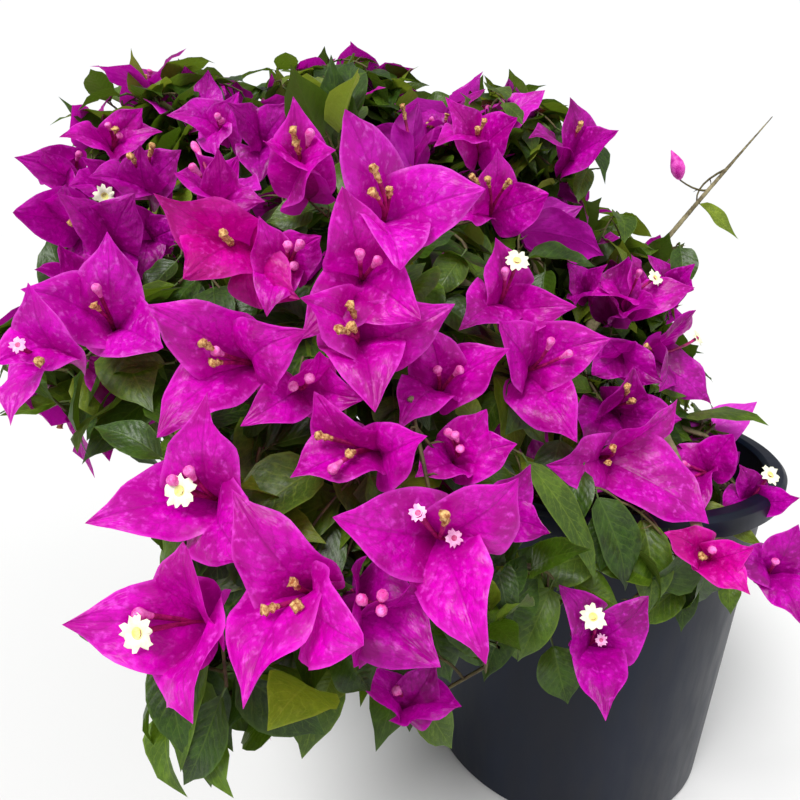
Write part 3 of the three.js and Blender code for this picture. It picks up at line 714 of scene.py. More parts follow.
@dataclass
class TurnedField:
    """Many slender turned forms, such as flower tubes and twigs, joined into one mesh."""

    name: str
    sides: int
    corners: list = field(default_factory=list)
    faces: list = field(default_factory=list)
    tints: list = field(default_factory=list)
    count: int = 0

    def add(self, path: np.ndarray, radii: np.ndarray, tints: np.ndarray,
            ruffle: np.ndarray | None = None) -> None:
        """Adds a form along a path.

        Args:
            path: Its middle line, one point a ring.
            radii: The radius of each ring.
            tints: The material index of each band between two rings.
            ruffle: How far each corner of a ring stands out, one row a ring, or None for round rings.
        """
        rings = len(path)
        headings = unit(np.gradient(path, axis=0))
        normal = square_to(headings[0])[0]
        angle = np.arange(self.sides) * 2 * math.pi / self.sides
        out = ruffle if ruffle is not None else np.ones((rings, self.sides))
        for i in range(rings):
            normal = unit(normal - headings[i] * (normal @ headings[i]))
            other = np.cross(headings[i], normal)
            ring = np.outer(np.cos(angle) * out[i], normal) + np.outer(np.sin(angle) * out[i], other)
            self.corners.append(path[i] + ring * radii[i])
        start = self.count + np.arange(rings - 1)[:, None] * self.sides
        side = np.arange(self.sides)
        following = (side + 1) % self.sides
        above = start + self.sides
        face = np.stack([start + side, start + following, above + following, above + side], axis=-1)
        self.faces.append(face.reshape(-1, 4))
        self.tints.append(np.repeat(tints, self.sides))
        self.count += rings * self.sides

    def build(self, materials: list[bpy.types.Material]) -> bpy.types.Object:
        """The joined mesh of all the forms."""
        return mesh_object(self.name, np.concatenate(self.corners), np.concatenate(self.faces), materials,
                           np.concatenate(self.tints))


# Flowers.


class FlowerBed:
    """The slender flowers that stand in the sprays: buds, open stars and dried ends."""

    tube_sides = 8
    star_sides = 30
    # Each ring: how far along the tube, as a share of it, and its radius in millimetres.
    tube_rings = ((0.0, 0.8), (0.1, 1.25), (0.3, 1.15), (0.55, 0.9), (0.8, 1.1))
    tops = {
        Bloom.BUD: ((0.86, 1.4), (0.91, 2.0), (0.95, 2.4), (0.98, 2.1), (1.0, 1.3), (1.005, 0.2)),
        Bloom.DRY: ((0.84, 1.2), (0.88, 1.7), (0.91, 1.2), (0.95, 1.9), (0.98, 2.2), (1.0, 1.5), (0.99, 0.3)),
        Bloom.STAR: ((0.9, 1.15), (0.97, 1.3), (1.0, 1.7)),
        Bloom.OPENING: ((0.88, 1.3), (0.94, 1.9), (1.0, 2.0)),
    }
    # Each ring of an open face: how far past the tube's end and its radius, in millimetres.
    star_rings = ((-0.1, 0.02), (0.0, 1.2), (0.5, 2.3), (1.1, 4.6), (0.6, 7.4))
    # Each ring of a closed spray: how far along, and its radius, both as shares of its length.
    closed_rings = (
        (0.0, 0.03), (0.05, 0.1), (0.16, 0.18), (0.32, 0.23), (0.5, 0.21),
        (0.68, 0.14), (0.84, 0.07), (0.95, 0.03), (1.0, 0.004),
    )
    closed_bend = 0.08
    closed_band = 4
    # How far each corner of a lobe stands out, round the rim: there are five lobes.
    lobe = (0.68, 0.86, 1.0, 0.8, 1.0, 0.86)
    opening_size = 0.5
    rise = 0.6
    face_turn = 1.3
    face_step = 0.1 * MM
    # How unevenly a dried end, a lobe's edge and, in millimetres, the height of that edge are drawn.
    dry_ruffle = (0.6, 1.35)
    rim_ruffle = (0.9, 1.08)
    rim_lift = (-1.1, 0.9)

    def __init__(self) -> None:
        """Starts two fields: the tubes, and the open faces."""
        self.tubes = TurnedField("flower_tubes", self.tube_sides)
        self.stars = TurnedField("flower_stars", self.star_sides)
        self.draw = np.random.default_rng(77)

    def add(self, base: np.ndarray, end: np.ndarray, bloom: Bloom, facing: np.ndarray,
            look: np.ndarray) -> None:
        """Adds a flower.

        Args:
            base: Where it starts, in the spray.
            end: Where it ends.
            bloom: How far it has come.
            facing: The way that the spray faces, in which it rises first.
            look: The way that an open face looks.
        """
        rings = np.array(self.tube_rings + self.tops[bloom])
        line = Line(base, base + facing * self.rise * np.linalg.norm(end - base), end)
        path = np.array([line.at(share) for share in rings[:, 0]])
        ruffle = np.ones((len(rings), self.tube_sides))
        first = len(self.tube_rings)
        if bloom is Bloom.DRY:
            ruffle[first:] = self.draw.uniform(*self.dry_ruffle, ruffle[first:].shape)
        is_open = bloom in (Bloom.STAR, Bloom.OPENING)
        bands = np.zeros(len(rings) - 1, int)
        bands[first - 1:] = 0 if is_open else bloom.value + 1
        self.tubes.add(path, rings[:, 1] * MM, bands, ruffle)
        if is_open:
            self.add_face(end, unit(line.heading(1.0) + self.face_turn * look), bloom)

    def add_closed(self, base: np.ndarray, tip: np.ndarray) -> None:
        """Adds a closed spray, whose bracts are still folded to a spindle."""
        rings = np.array(self.closed_rings)
        length = length_of(tip - base)
        bend = square_to(unit(tip - base))[0] * length * self.closed_bend
        path = base + np.outer(rings[:, 0], tip - base) + np.outer(np.sin(math.pi * rings[:, 0]), bend)
        self.tubes.add(path, rings[:, 1] * length, np.full(len(rings) - 1, self.closed_band))

    def add_face(self, end: np.ndarray, heading: np.ndarray, bloom: Bloom) -> None:
        """Adds the open face of a flower: five notched lobes round a yellow throat."""
        size = 1.0 if bloom is Bloom.STAR else self.opening_size
        rings = np.array(self.star_rings) * MM * size
        ruffle = np.ones((len(rings), self.star_sides))
        ruffle[-1] = np.tile(self.lobe, self.star_sides // len(self.lobe))
        ruffle[-2] = (1 + ruffle[-1]) / 2
        ruffle[-1] *= self.draw.uniform(*self.rim_ruffle, self.star_sides)
        steps = np.arange(len(rings)) * self.face_step
        straight = end + np.outer(steps, heading)
        flat = TurnedField("flat", self.star_sides)
        bands = np.array([1, 1, 0, 0]) if bloom is Bloom.STAR else np.array([2, 2, 3, 3])
        flat.add(straight, rings[:, 1], bands, ruffle)
        corners = np.array(flat.corners) + np.outer(rings[:, 0] - steps, heading)[:, None, :]
        corners[-1] += heading * self.draw.uniform(*self.rim_lift, self.star_sides)[:, None] * MM * size
        self.stars.corners.extend(corners)
        self.stars.faces.append(flat.faces[0] + self.stars.count)
        self.stars.tints.append(flat.tints[0])
        self.stars.count += len(rings) * self.star_sides


# Growth.


class Branchwork:
    """The twigs of one mass, which grow on from its own stem."""

    step = 11 * MM
    twig_root = 1.5 * MM
    twig_tip = 0.8 * MM
    first_share = 0.08
    stem_points = 12
    turn_cost = 0.8
    least_run = 14 * MM
    least_points = 7
    root_share = 0.85

    def __init__(self, stem: Limb) -> None:
        """Starts with points along the mass's stem."""
        self.shares = np.linspace(self.first_share, 1, self.stem_points)
        self.used = self.shares[0]
        self.points = [stem.line.at(share) for share in self.shares]
        self.headings = [stem.line.heading(share) for share in self.shares]
        self.radii = [stem.radius(share) for share in self.shares]

    def path_to(self, target: np.ndarray, arrive: np.ndarray | None,
                lift: float) -> tuple[np.ndarray, np.ndarray]:
        """The line of a twig to a target, from the best point of what has grown.

        Args:
            target: Where the twig ends.
            arrive: The way that it ends, or None where it runs straight on.
            lift: How far it arches, as a share of its length.

        Returns:
            Its points and its radii.
        """
        points, headings = np.array(self.points), np.array(self.headings)
        away = target - points
        distance = np.linalg.norm(away, axis=1)
        turn = 1 - np.einsum("ij,ij->i", unit(away), headings)
        cost = distance * (1 + self.turn_cost * turn) + np.where(distance < self.least_run, 1.0, 0.0)
        best = int(np.argmin(cost))
        root, span = points[best], float(distance[best])
        control = root + (target - root) * 0.5 + UP * lift * span
        if arrive is not None:
            control = (control + target - arrive * span * 0.5) / 2
        line = Line(root, control, target)
        shares = np.linspace(0, 1, max(self.least_points, int(span / self.step) + 2))
        start = min(self.radii[best] * self.root_share, self.twig_root)
        path = np.array([line.at(share) for share in shares])
        return path, start + (self.twig_tip - start) * shares

    def keep(self, path: np.ndarray, radii: np.ndarray) -> None:
        """Keeps a twig for later ones to grow out of, and how far up the stem the last one starts."""
        for share, point in zip(self.shares, self.points):
            if np.allclose(point, path[0]):
                self.used = max(self.used, share)
        headings = unit(np.gradient(path, axis=0))
        for i in range(1, len(path) - 1):
            self.points.append(path[i])
            self.headings.append(headings[i])
            self.radii.append(float(radii[i]))


@dataclass(frozen=True)
class GrowthSize:
    """How densely the masses grow, and how large their blades are."""

    bract_length: float = 48 * MM
    bract_width: float = 0.63
    bract_opening: float = 0.98
    bract_roll: float = 0.2
    leaf_length: float = 52 * MM
    leaf_width: float = 0.5
    stalk: float = 5 * MM
    flower_length: float = 24 * MM
    flower_clear: float = 9.0
    flower_lift: float = 4 * MM
    spray_room: float = 45 * MM
    top_room: float = 0.84
    top_from: float = 470 * MM
    leaf_gap: float = 12 * MM
    ways: int = 110
    rounds: tuple[float, ...] = (0.97, 0.8, 0.6, 0.42)
    leafy_each: tuple[int, ...] = (3, 3, 2, 3)
    pot_room: float = 3 * MM
    thorn_length: float = 7 * MM
    thorn_gap: float = 26 * MM
    gap_twigs: int = 46
    gap_reach: float = 1.9
    # How wide a seen spray is kept clear, and where a spray's middle is, as shares of its bracts' length.
    seen_share: float = 0.62
    centre_share: float = 0.45
    # How far each kind of twig arches, and how far along it its leaves start, as shares of its length.
    seen_lift: float = 0.1
    seen_first: float = 0.3
    leaf_lift: float = 0.05
    spray_lift: float = 0.12
    spray_first: float = 0.45
    leafy_lift: float = 0.14
    leafy_first: float = 0.2
    gap_lift: float = 0.1
    gap_first: float = 0.1
    leaf_last: float = 0.97
    # How far the kinds of growth stay clear of the seen sprays, and in depth.
    spray_clear: float = 12 * MM
    leaf_clear: float = 6 * MM
    twig_clear: float = 2 * MM
    depth_clear: float = 12 * MM
    # The cosine of the cap that a mass's twigs spread over, and how many the long shoot has.
    blossom_cap: float = -0.75
    shoot_ways: int = 9
    shoot_cap: float = -0.8


SIZE = GrowthSize()
TINT_SHARES = (0.46, 0.28, 0.12, 0.14)
GREEN_SHARES = (0.52, 0.34, 0.14)
BLOOM_SHARES = (0.46, 0.14, 0.3, 0.1)


class Crown:
    """The whole crown: twigs, leaves, bracts and flowers, grown mass by mass."""

    bract_shape = BladeShape(rows=8, columns=6, widest=0.4, base=0.2, full=0.7, point=0.5, bow=0.13, cup=0.2,
                             fold=0.3, puff=0.04, crumple=0.03, wave=0.07, ripples=2.1, recurve=0.13)
    leaf_shape = BladeShape(rows=7, columns=4, widest=0.38, base=0.1, full=0.95, point=0.5, bow=0.08, cup=0.1,
                            fold=0.5, puff=0.03, crumple=0.02, wave=0.05, ripples=1.6, recurve=0.1)
    gap_middle = np.array([-222, 84, 410]) * MM
    gap_spread = np.array([26, 26, 40]) * MM
    thorn_radii = np.array([0.75, 0.5, 0.08]) * MM
    stalk_radii = np.array([0.85, 0.65, 0.5]) * MM

    def __init__(self, framework: Framework) -> None:
        """Starts the fields that the blades, twigs and flowers are joined in."""
        self.framework = framework
        self.draw = np.random.default_rng(20)
        self.near_bracts = BladeField("near_bracts", replace(self.bract_shape, rows=18, columns=12), 30)
        self.bracts = BladeField("bracts", self.bract_shape, 31)
        self.near_leaves = BladeField("near_leaves", replace(self.leaf_shape, rows=14, columns=8), 32)
        self.leaves = BladeField("leaves", self.leaf_shape, 33)
        self.twigs = TurnedField("twigs", 5)
        self.flowers = FlowerBed()
        self.spray_centres: list[np.ndarray] = []
        self.branchwork = {mass.name: Branchwork(framework.mass_stems[mass.name]) for mass in MASSES}

    def grow(self) -> None:
        """Grows what the picture shows first, and then every mass."""
        twigs = [self.grow_seen(spray) for spray in SEEN_SPRAYS]
        self.seen = CAMERA.picture_of(np.array(self.spray_centres))
        sizes = np.array([spray.bract_length() for spray in SEEN_SPRAYS]) * SIZE.seen_share
        self.seen_reach = sizes * CAMERA.focal / self.seen[:, 2]
        for leaf in SEEN_LEAVES:
            self.grow_seen_leaf(leaf)
        self.grow_shoot_bud()
        for mass, path in twigs:
            self.grow_leaves(mass, path, SIZE.seen_first)
        for mass in MASSES:
            self.grow_mass(mass)
        self.close_gap()

    def close_gap(self) -> None:
        """Grows leaves into the hollow that the masses leave open behind the crown's middle."""
        for offset in self.draw.normal(size=(SIZE.gap_twigs, 3)):
            target = self.gap_middle + offset * self.gap_spread
            self.grow_leafy(self.nearest(target), target, SIZE.gap_lift, SIZE.gap_first, SIZE.gap_reach)

    def nearest(self, point: np.ndarray) -> Mass:
        """The mass whose space a point is deepest in."""
        return min(MASSES, key=lambda mass: float(mass.nearness(point)))

    def grow_seen(self, spray: SeenSpray) -> tuple[Mass, np.ndarray]:
        """Grows a spray that the picture shows, on a twig of the mass that holds it; returns both."""
        base = CAMERA.point(*spray.base, spray.depth)
        length = spray.bract_length()
        tips = [CAMERA.reach(base, *tip, length, spray.away) for tip in spray.tips]
        facing = unit(sum(unit(tip - base) for tip in tips))
        mass = self.nearest(base)
        path = self.grow_twig(mass, base, facing, SIZE.seen_lift)
        self.add_bracts(self.near_bracts, base, tips, facing, spray.tint)
        surface = CAMERA.picture_of(self.near_bracts.corners(-len(tips)).reshape(-1, 3))
        for u, v, bloom in spray.blooms:
            near = surface[np.hypot(surface[:, 0] - u, surface[:, 1] - v) < SIZE.flower_clear]
            depth = near[:, 2].min() if len(near) else spray.depth
            end = CAMERA.point(u, v, min(depth, spray.depth) - SIZE.flower_lift)
            self.flowers.add(base, end, bloom, facing, -CAMERA.ahead)
        self.spray_centres.append(base + facing * length * SIZE.centre_share)
        return mass, path

    def grow_seen_leaf(self, leaf: SeenLeaf) -> None:
        """Grows a leaf that the picture shows, on a twig of its own."""
        foot = CAMERA.point(*leaf.foot, leaf.depth)
        tip = CAMERA.point(*leaf.tip, leaf.depth - SIZE.leaf_clear)
        along = unit(tip - foot)
        self.grow_twig(self.nearest(foot), foot - along * SIZE.stalk, along, SIZE.leaf_lift)
        self.add_stalk(foot - along * SIZE.stalk, foot, along)
        facing = unit(UP * 0.55 - CAMERA.ahead * 0.7 + self.draw.normal(size=3) * 0.22)
        self.near_leaves.add(foot, tip, facing, leaf.width * MM, leaf.tint)

    def grow_shoot_bud(self) -> None:
        """Grows the closed spray that stands by the long shoot."""
        foot, end, depth = SHOOT_BUD
        base, tip = CAMERA.point(*foot, depth), CAMERA.point(*end, depth)
        axis = tip - base
        limb = self.framework.limbs["long_shoot"].line
        roots = np.array([limb.at(share) for share in np.linspace(0.5, 1, 20)])
        root = roots[np.argmin(np.linalg.norm(roots - base, axis=1))]
        line = Line(root, (root + base) / 2 - unit(axis) * 8 * MM, base)
        path = np.array([line.at(share) for share in np.linspace(0, 1, 6)])
        self.twigs.add(path, np.linspace(1.3, 0.8, 6) * MM, np.zeros(5, int))
        self.flowers.add_closed(base, tip)

    def opened(self, base: np.ndarray, facing: np.ndarray, length: float, opening: float,
               spin: float) -> list[np.ndarray]:
        """The tips of a spray's three bracts, which lean away from the way that it faces."""
        u, v = square_to(facing)
        tips = []
        for k in range(3):
            angle = spin + k * 2 * math.pi / 3 + self.draw.normal() * 0.12
            lean = opening * self.draw.uniform(0.8, 1.18)
            radial = u * math.cos(angle) + v * math.sin(angle)
            tips.append(base + length * (facing * math.cos(lean) + radial * math.sin(lean)))
        return tips

    def grow_twig(self, mass: Mass, target: np.ndarray, arrive: np.ndarray | None, lift: float) -> np.ndarray:
        """Grows a twig to a target from what the mass has, and returns its path."""
        path, radii = self.branchwork[mass.name].path_to(target, arrive, lift)
        self.keep_twig(mass, path, radii)
        return path

    def keep_twig(self, mass: Mass, path: np.ndarray, radii: np.ndarray) -> None:
        """Adds a twig, with its thorns, and lets later ones grow out of it."""
        self.branchwork[mass.name].keep(path, radii)
        self.twigs.add(path, radii, np.zeros(len(path) - 1, int))
        self.add_thorns(path)

    def add_thorns(self, path: np.ndarray) -> None:
        """Adds curved thorns along a longer twig."""
        gap = max(1, int(SIZE.thorn_gap / max(1e-4, length_of(path[1] - path[0]))))
        for i in range(gap, len(path) - 1, gap):
            heading = unit(path[i + 1] - path[i])
            u, v = square_to(heading)
            angle = i * GOLDEN_ANGLE
            out = u * math.cos(angle) + v * math.sin(angle)
            end = path[i] + (out + heading * 0.4) * SIZE.thorn_length
            if self.holds_clear(end):
                middle = path[i] + (out * 0.6 + heading * 0.1) * SIZE.thorn_length
                self.twigs.add(np.array([path[i], middle, end]), self.thorn_radii, np.zeros(2, int))

    def holds_clear(self, point: np.ndarray) -> bool:
        """True where a point is clear of the pot."""
        return bool(POT.is_clear(point[None], SIZE.pot_room).all())

    def add_stalk(self, root: np.ndarray, foot: np.ndarray, along: np.ndarray) -> None:
        """Adds a leaf's stalk, which runs a little way on under the blade."""
        path = np.array([root, (root + foot) / 2, foot + along * 2 * MM])
        self.twigs.add(path, self.stalk_radii, np.ones(2, int))

    def add_bracts(self, blades: BladeField, base: np.ndarray, tips: list[np.ndarray], facing: np.ndarray,
                   tint: Tint) -> None:
        """Adds the bracts of a spray, which share its base and each lap over the next.

        Args:
            blades: The field that they go into.
            base: Where they all start.
            tips: Where each ends.
            facing: The way that the spray faces.
            tint: The colour that the spray is dealt.
        """
        for tip in tips:
            length = length_of(tip - base)
            width = length * SIZE.bract_width * self.draw.uniform(0.88, 1.08)
            roll = SIZE.bract_roll + self.draw.normal() * 0.16
            blades.add(base, tip, facing, width, tint, roll)

    def is_hiding(self, points: np.ndarray, size: float) -> bool:
        """True where something would stand before a seen spray, or in the open air beside it."""
        place = CAMERA.picture_of(points)
        reach = size * CAMERA.focal / place[:, 2]
        apart = np.linalg.norm(place[:, None, :2] - self.seen[None, :, :2], axis=-1)
        nearer = place[:, None, 2] < self.seen[None, :, 2] + SIZE.depth_clear
        air = np.array(OPEN_AIR)
        open_by = np.linalg.norm(place[:, None, :2] - air[None, :, :2], axis=-1) < air[None, :, 2]
        return bool((nearer & (apart < reach[:, None] + self.seen_reach[None])).any() or open_by.any())

    def holds(self, mass: Mass, points: np.ndarray, reach: float = 1.0) -> bool:
        """True where every point is within the reach of a mass, and clear of the pot."""
        near = np.min([one.nearness(points) for one in MASSES if one is mass or one.is_blossom], axis=0)
        return bool((near < reach).all() and POT.is_clear(points, SIZE.pot_room).all())

    def grow_mass(self, mass: Mass) -> None:
        """Grows a mass in rounds, from its outside in."""
        if mass.name.startswith("long"):
            for way in spread_round(self.framework.facing(mass), SIZE.shoot_ways, SIZE.shoot_cap, 1.0):
                self.grow_leafy_way(mass, way, 0.6)
            return
        facing = self.framework.facing(mass)
        cap = SIZE.blossom_cap if mass.is_blossom else -1.0
        for turn, share in enumerate(SIZE.rounds):
            ways = spread_round(facing, SIZE.ways, cap, self.draw.uniform(0, math.pi))
            for index, way in enumerate(ways):
                carries = mass.is_blossom and turn < 2 and (index + turn) % 4 != 3
                if carries and self.grow_spray(mass, way, share):
                    continue
                if (index + turn) % SIZE.leafy_each[turn] == 0:
                    self.grow_leafy_way(mass, way, share * 0.88)

    def grow_spray(self, mass: Mass, way: np.ndarray, share: float) -> bool:
        """Grows a twig with a spray, where there is room for it; returns whether it has."""
        draw = self.draw
        length = SIZE.bract_length * draw.uniform(0.84, 1.12)
        opening = SIZE.bract_opening * draw.uniform(0.72, 1.14)
        reach = mass.reach_along(way) * share * draw.uniform(0.92, 1.0)
        base = mass.middle + way * (reach - length * math.cos(opening))
        out = unit(base - self.framework.heart)
        facing = unit(0.6 * way + 0.5 * out + 0.25 * UP + draw.normal(size=3) * 0.2)
        tips = self.opened(base, facing, length, opening, draw.uniform(0, 2 * math.pi))
        centre = base + facing * length * SIZE.centre_share
        room = SIZE.spray_room * (SIZE.top_room if centre[2] > SIZE.top_from else 1.0)
        crowded = np.linalg.norm(np.array(self.spray_centres) - centre, axis=1).min() < room
        if crowded or not self.holds(mass, np.array([*tips, base])):
            return False
        marks = np.array([centre, *tips, *((base + tip) / 2 for tip in tips)])
        if self.is_hiding(marks, SIZE.spray_clear):
            return False
        path, radii = self.branchwork[mass.name].path_to(base, facing, SIZE.spray_lift)
        if self.is_hiding(path[1:], 0.0):
            return False
        self.keep_twig(mass, path, radii)
        self.add_bracts(self.bracts, base, tips, facing, Tint(int(draw.choice(4, p=TINT_SHARES))))
        for tip in tips:
            bloom = Bloom(int(draw.choice(4, p=BLOOM_SHARES)))
            lean = unit(facing + 0.6 * unit(tip - base) + draw.normal(size=3) * 0.08)
            end = base + lean * SIZE.flower_length * draw.uniform(0.8, 1.1)
            self.flowers.add(base, end, bloom, facing, facing)
        self.spray_centres.append(centre)
        self.grow_leaves(mass, path, SIZE.spray_first)
        return True

    def grow_leafy_way(self, mass: Mass, way: np.ndarray, share: float) -> None:
        """Grows a twig with leaves alone, some way out from the middle of a mass."""
        target = mass.middle + way * mass.reach_along(way) * share * self.draw.uniform(0.85, 1.0)
        if self.holds(mass, target[None]) and not self.is_hiding(target[None], SIZE.twig_clear):
            self.grow_leafy(mass, target, SIZE.leafy_lift, SIZE.leafy_first)

    def grow_leafy(self, mass: Mass, target: np.ndarray, lift: float, first: float,
                   reach: float = 1.0) -> None:
        """Grows a twig with leaves alone, unless it would hide what the picture shows.

        Args:
            mass: The mass that it grows out of.
            target: Where it would end.
            lift: How far it arches, as a share of its length.
            first: How far along it the leaves start.
            reach: How far out its leaves may stand, as a share of the masses' reach.
        """
        path, radii = self.branchwork[mass.name].path_to(target, None, lift)
        if self.is_hiding(path[1:], 0.0):
            return
        last = self.grow_leaves(mass, path, first, reach)
        if last > 0:
            self.keep_twig(mass, path[:last + 1], np.linspace(radii[0], Branchwork.twig_tip, last + 1))

    def grow_leaves(self, mass: Mass, path: np.ndarray, first: float, reach: float = 1.0) -> int:
        """Adds leaves along a twig, turned by the golden angle; returns how far along the last is."""
        draw = self.draw
        last = 0
        span = length_of(path[-1] - path[0])
        count = max(2, int(span * (1 - first) / SIZE.leaf_gap) + 1)
        turn = draw.uniform(0, 2 * math.pi)
        for k in range(count):
            place = (first + (SIZE.leaf_last - first) * k / (count - 1)) * (len(path) - 1)
            low = min(int(place), len(path) - 2)
            root = path[low] + (path[low + 1] - path[low]) * (place - low)
            heading = unit(path[low + 1] - path[low])
            u, v = square_to(heading)
            angle = turn + k * GOLDEN_ANGLE
            radial = u * math.cos(angle) + v * math.sin(angle)
            spread = 0.35 if k == count - 1 else 1.0
            along = unit(heading * 0.45 + radial * spread + UP * draw.uniform(-0.5, 0.15) * spread)
            length = SIZE.leaf_length * draw.uniform(0.62, 1.12)
            foot = root + along * SIZE.stalk
            tip = foot + along * length
            marks = np.array([tip, (tip + foot) / 2, foot])
            if not self.holds(mass, marks, reach) or self.is_hiding(marks, SIZE.leaf_clear):
                continue
            facing = unit(UP * 0.8 + unit(root - self.framework.heart) * 0.7 + draw.normal(size=3) * 0.25)
            width = length * SIZE.leaf_width * draw.uniform(0.85, 1.1)
            self.leaves.add(foot, tip, facing, width, Green(int(draw.choice(3, p=GREEN_SHARES))))
            self.add_stalk(root, foot, along)
            last = low + 1
        return last

    def used_share(self, name: str) -> float:
        """How far up a mass's own stem its last twig starts: 1 for the main stem and the long shoot."""
        if name not in self.branchwork or name.startswith("long"):
            return 1.0
        return self.branchwork[name].used


# Finishes.


class Shader:
    """A node tree under construction."""

    def __init__(self, tree: bpy.types.NodeTree) -> None:
        """Takes a tree to add nodes to."""
        self.tree = tree

    def add(self, kind: str, inputs: dict | None = None, **settings: object) -> bpy.types.Node:
        """Adds a node, with its settings, and with its inputs linked to sockets or set to values."""
        node = self.tree.nodes.new(kind)
        for key, value in settings.items():
            setattr(node, key, value)
        for key, value in (inputs or {}).items():
            socket = node.inputs[key]
            if isinstance(value, bpy.types.NodeSocket):
                self.tree.links.new(value, socket)
            else:
                socket.default_value = value
        return node

    def maths(self, operation: str, *values: object) -> bpy.types.NodeSocket:
        """The result of a sum on sockets or numbers."""
        node = self.add("ShaderNodeMath", dict(enumerate(values)), operation=operation)
        return node.outputs[0]

    def ramp(self, value: object, low: float, high: float, start: float = 0.0,
             end: float = 1.0) -> bpy.types.NodeSocket:
        """A value that goes smoothly from start to end as another goes from low to high."""
        inputs = {"Value": value, "From Min": low, "From Max": high, "To Min": start, "To Max": end}
        return self.add("ShaderNodeMapRange", inputs, interpolation_type="SMOOTHSTEP").outputs[0]

    def mix(self, share: object, first: object, second: object) -> bpy.types.NodeSocket:
        """A colour between two others."""
        node = self.tree.nodes.new("ShaderNodeMix")
        node.data_type = "RGBA"
        for index, value in ((0, share), (6, first), (7, second)):
            if isinstance(value, bpy.types.NodeSocket):
                self.tree.links.new(value, node.inputs[index])
            else:
                node.inputs[index].default_value = value
        return node.outputs[2]

    def noise(self, vector: object, scale: float, detail: float = 3.0) -> bpy.types.NodeSocket:
        """A soft noise of a vector."""
        inputs = {"Vector": vector, "Scale": scale, "Detail": detail}
        return self.add("ShaderNodeTexNoise", inputs).outputs["Fac"]


def vein_group() -> bpy.types.NodeTree:
    """The group that draws a blade's midrib, side veins and fine net, from its UV."""
    tree = bpy.data.node_groups.new("blade_veins", "ShaderNodeTree")
    for name, value in (("Side Veins", 7.0), ("Slope", 2.2), ("Net", 22.0)):
        tree.interface.new_socket(name, in_out="INPUT", socket_type="NodeSocketFloat").default_value = value
    for name in ("Veins", "Height", "Foot", "Margin"):
        tree.interface.new_socket(name, in_out="OUTPUT", socket_type="NodeSocketFloat")
    shader = Shader(tree)
    given = shader.add("NodeGroupInput").outputs
    uv = shader.add("ShaderNodeUVMap").outputs[0]
    parts = shader.add("ShaderNodeSeparateXYZ", {0: uv}).outputs
    side = shader.maths("ABSOLUTE", shader.maths("MULTIPLY_ADD", parts[0], 2.0, -1.0))
    wobble = shader.noise(uv, 9.0)
    midrib = shader.ramp(side, 0.0, 0.07, 1.0, 0.0)
    rise = shader.maths("MULTIPLY", side, given["Slope"])
    phase = shader.maths("SUBTRACT", shader.maths("MULTIPLY", parts[1], given["Side Veins"]), rise)
    phase = shader.maths("MULTIPLY_ADD", wobble, 0.7, phase)
    near = shader.maths("ABSOLUTE", shader.maths("SUBTRACT", shader.maths("FRACT", phase), 0.5))
    lateral = shader.ramp(near, 0.0, 0.09, 1.0, 0.0)
    lateral = shader.maths("MULTIPLY", lateral, shader.ramp(side, 0.45, 1.0, 1.0, 0.25))
    cells = {"Vector": uv, "Scale": given["Net"], "Randomness": 1.0}
    net = shader.add("ShaderNodeTexVoronoi", cells, feature="DISTANCE_TO_EDGE").outputs["Distance"]
    fine = shader.maths("MULTIPLY", shader.ramp(net, 0.0, 0.09, 1.0, 0.0), 0.45)
    veins = shader.maths("MAXIMUM", midrib, shader.maths("MAXIMUM", lateral, fine))
    quilt = shader.ramp(near, 0.0, 0.5, 0.0, 1.0)
    quilted = shader.maths("MULTIPLY", quilt, 0.6)
    height = shader.maths("MULTIPLY_ADD", shader.noise(uv, 6.0, 2.0), 2.2, quilted)
    height = shader.maths("MULTIPLY_ADD", shader.ramp(net, 0.0, 0.4), 0.16, height)
    height = shader.maths("SUBTRACT", height, shader.maths("MULTIPLY", midrib, 0.8))
    # Foot fades out over the first six tenths of the blade: the mask of the painted shade at a bract's foot.
    shader.add("NodeGroupOutput", {
        "Veins": veins, "Height": height, "Foot": shader.ramp(parts[1], 0.0, 0.6, 1.0, 0.0),
        "Margin": shader.ramp(side, 0.86, 1.0)})
    return tree


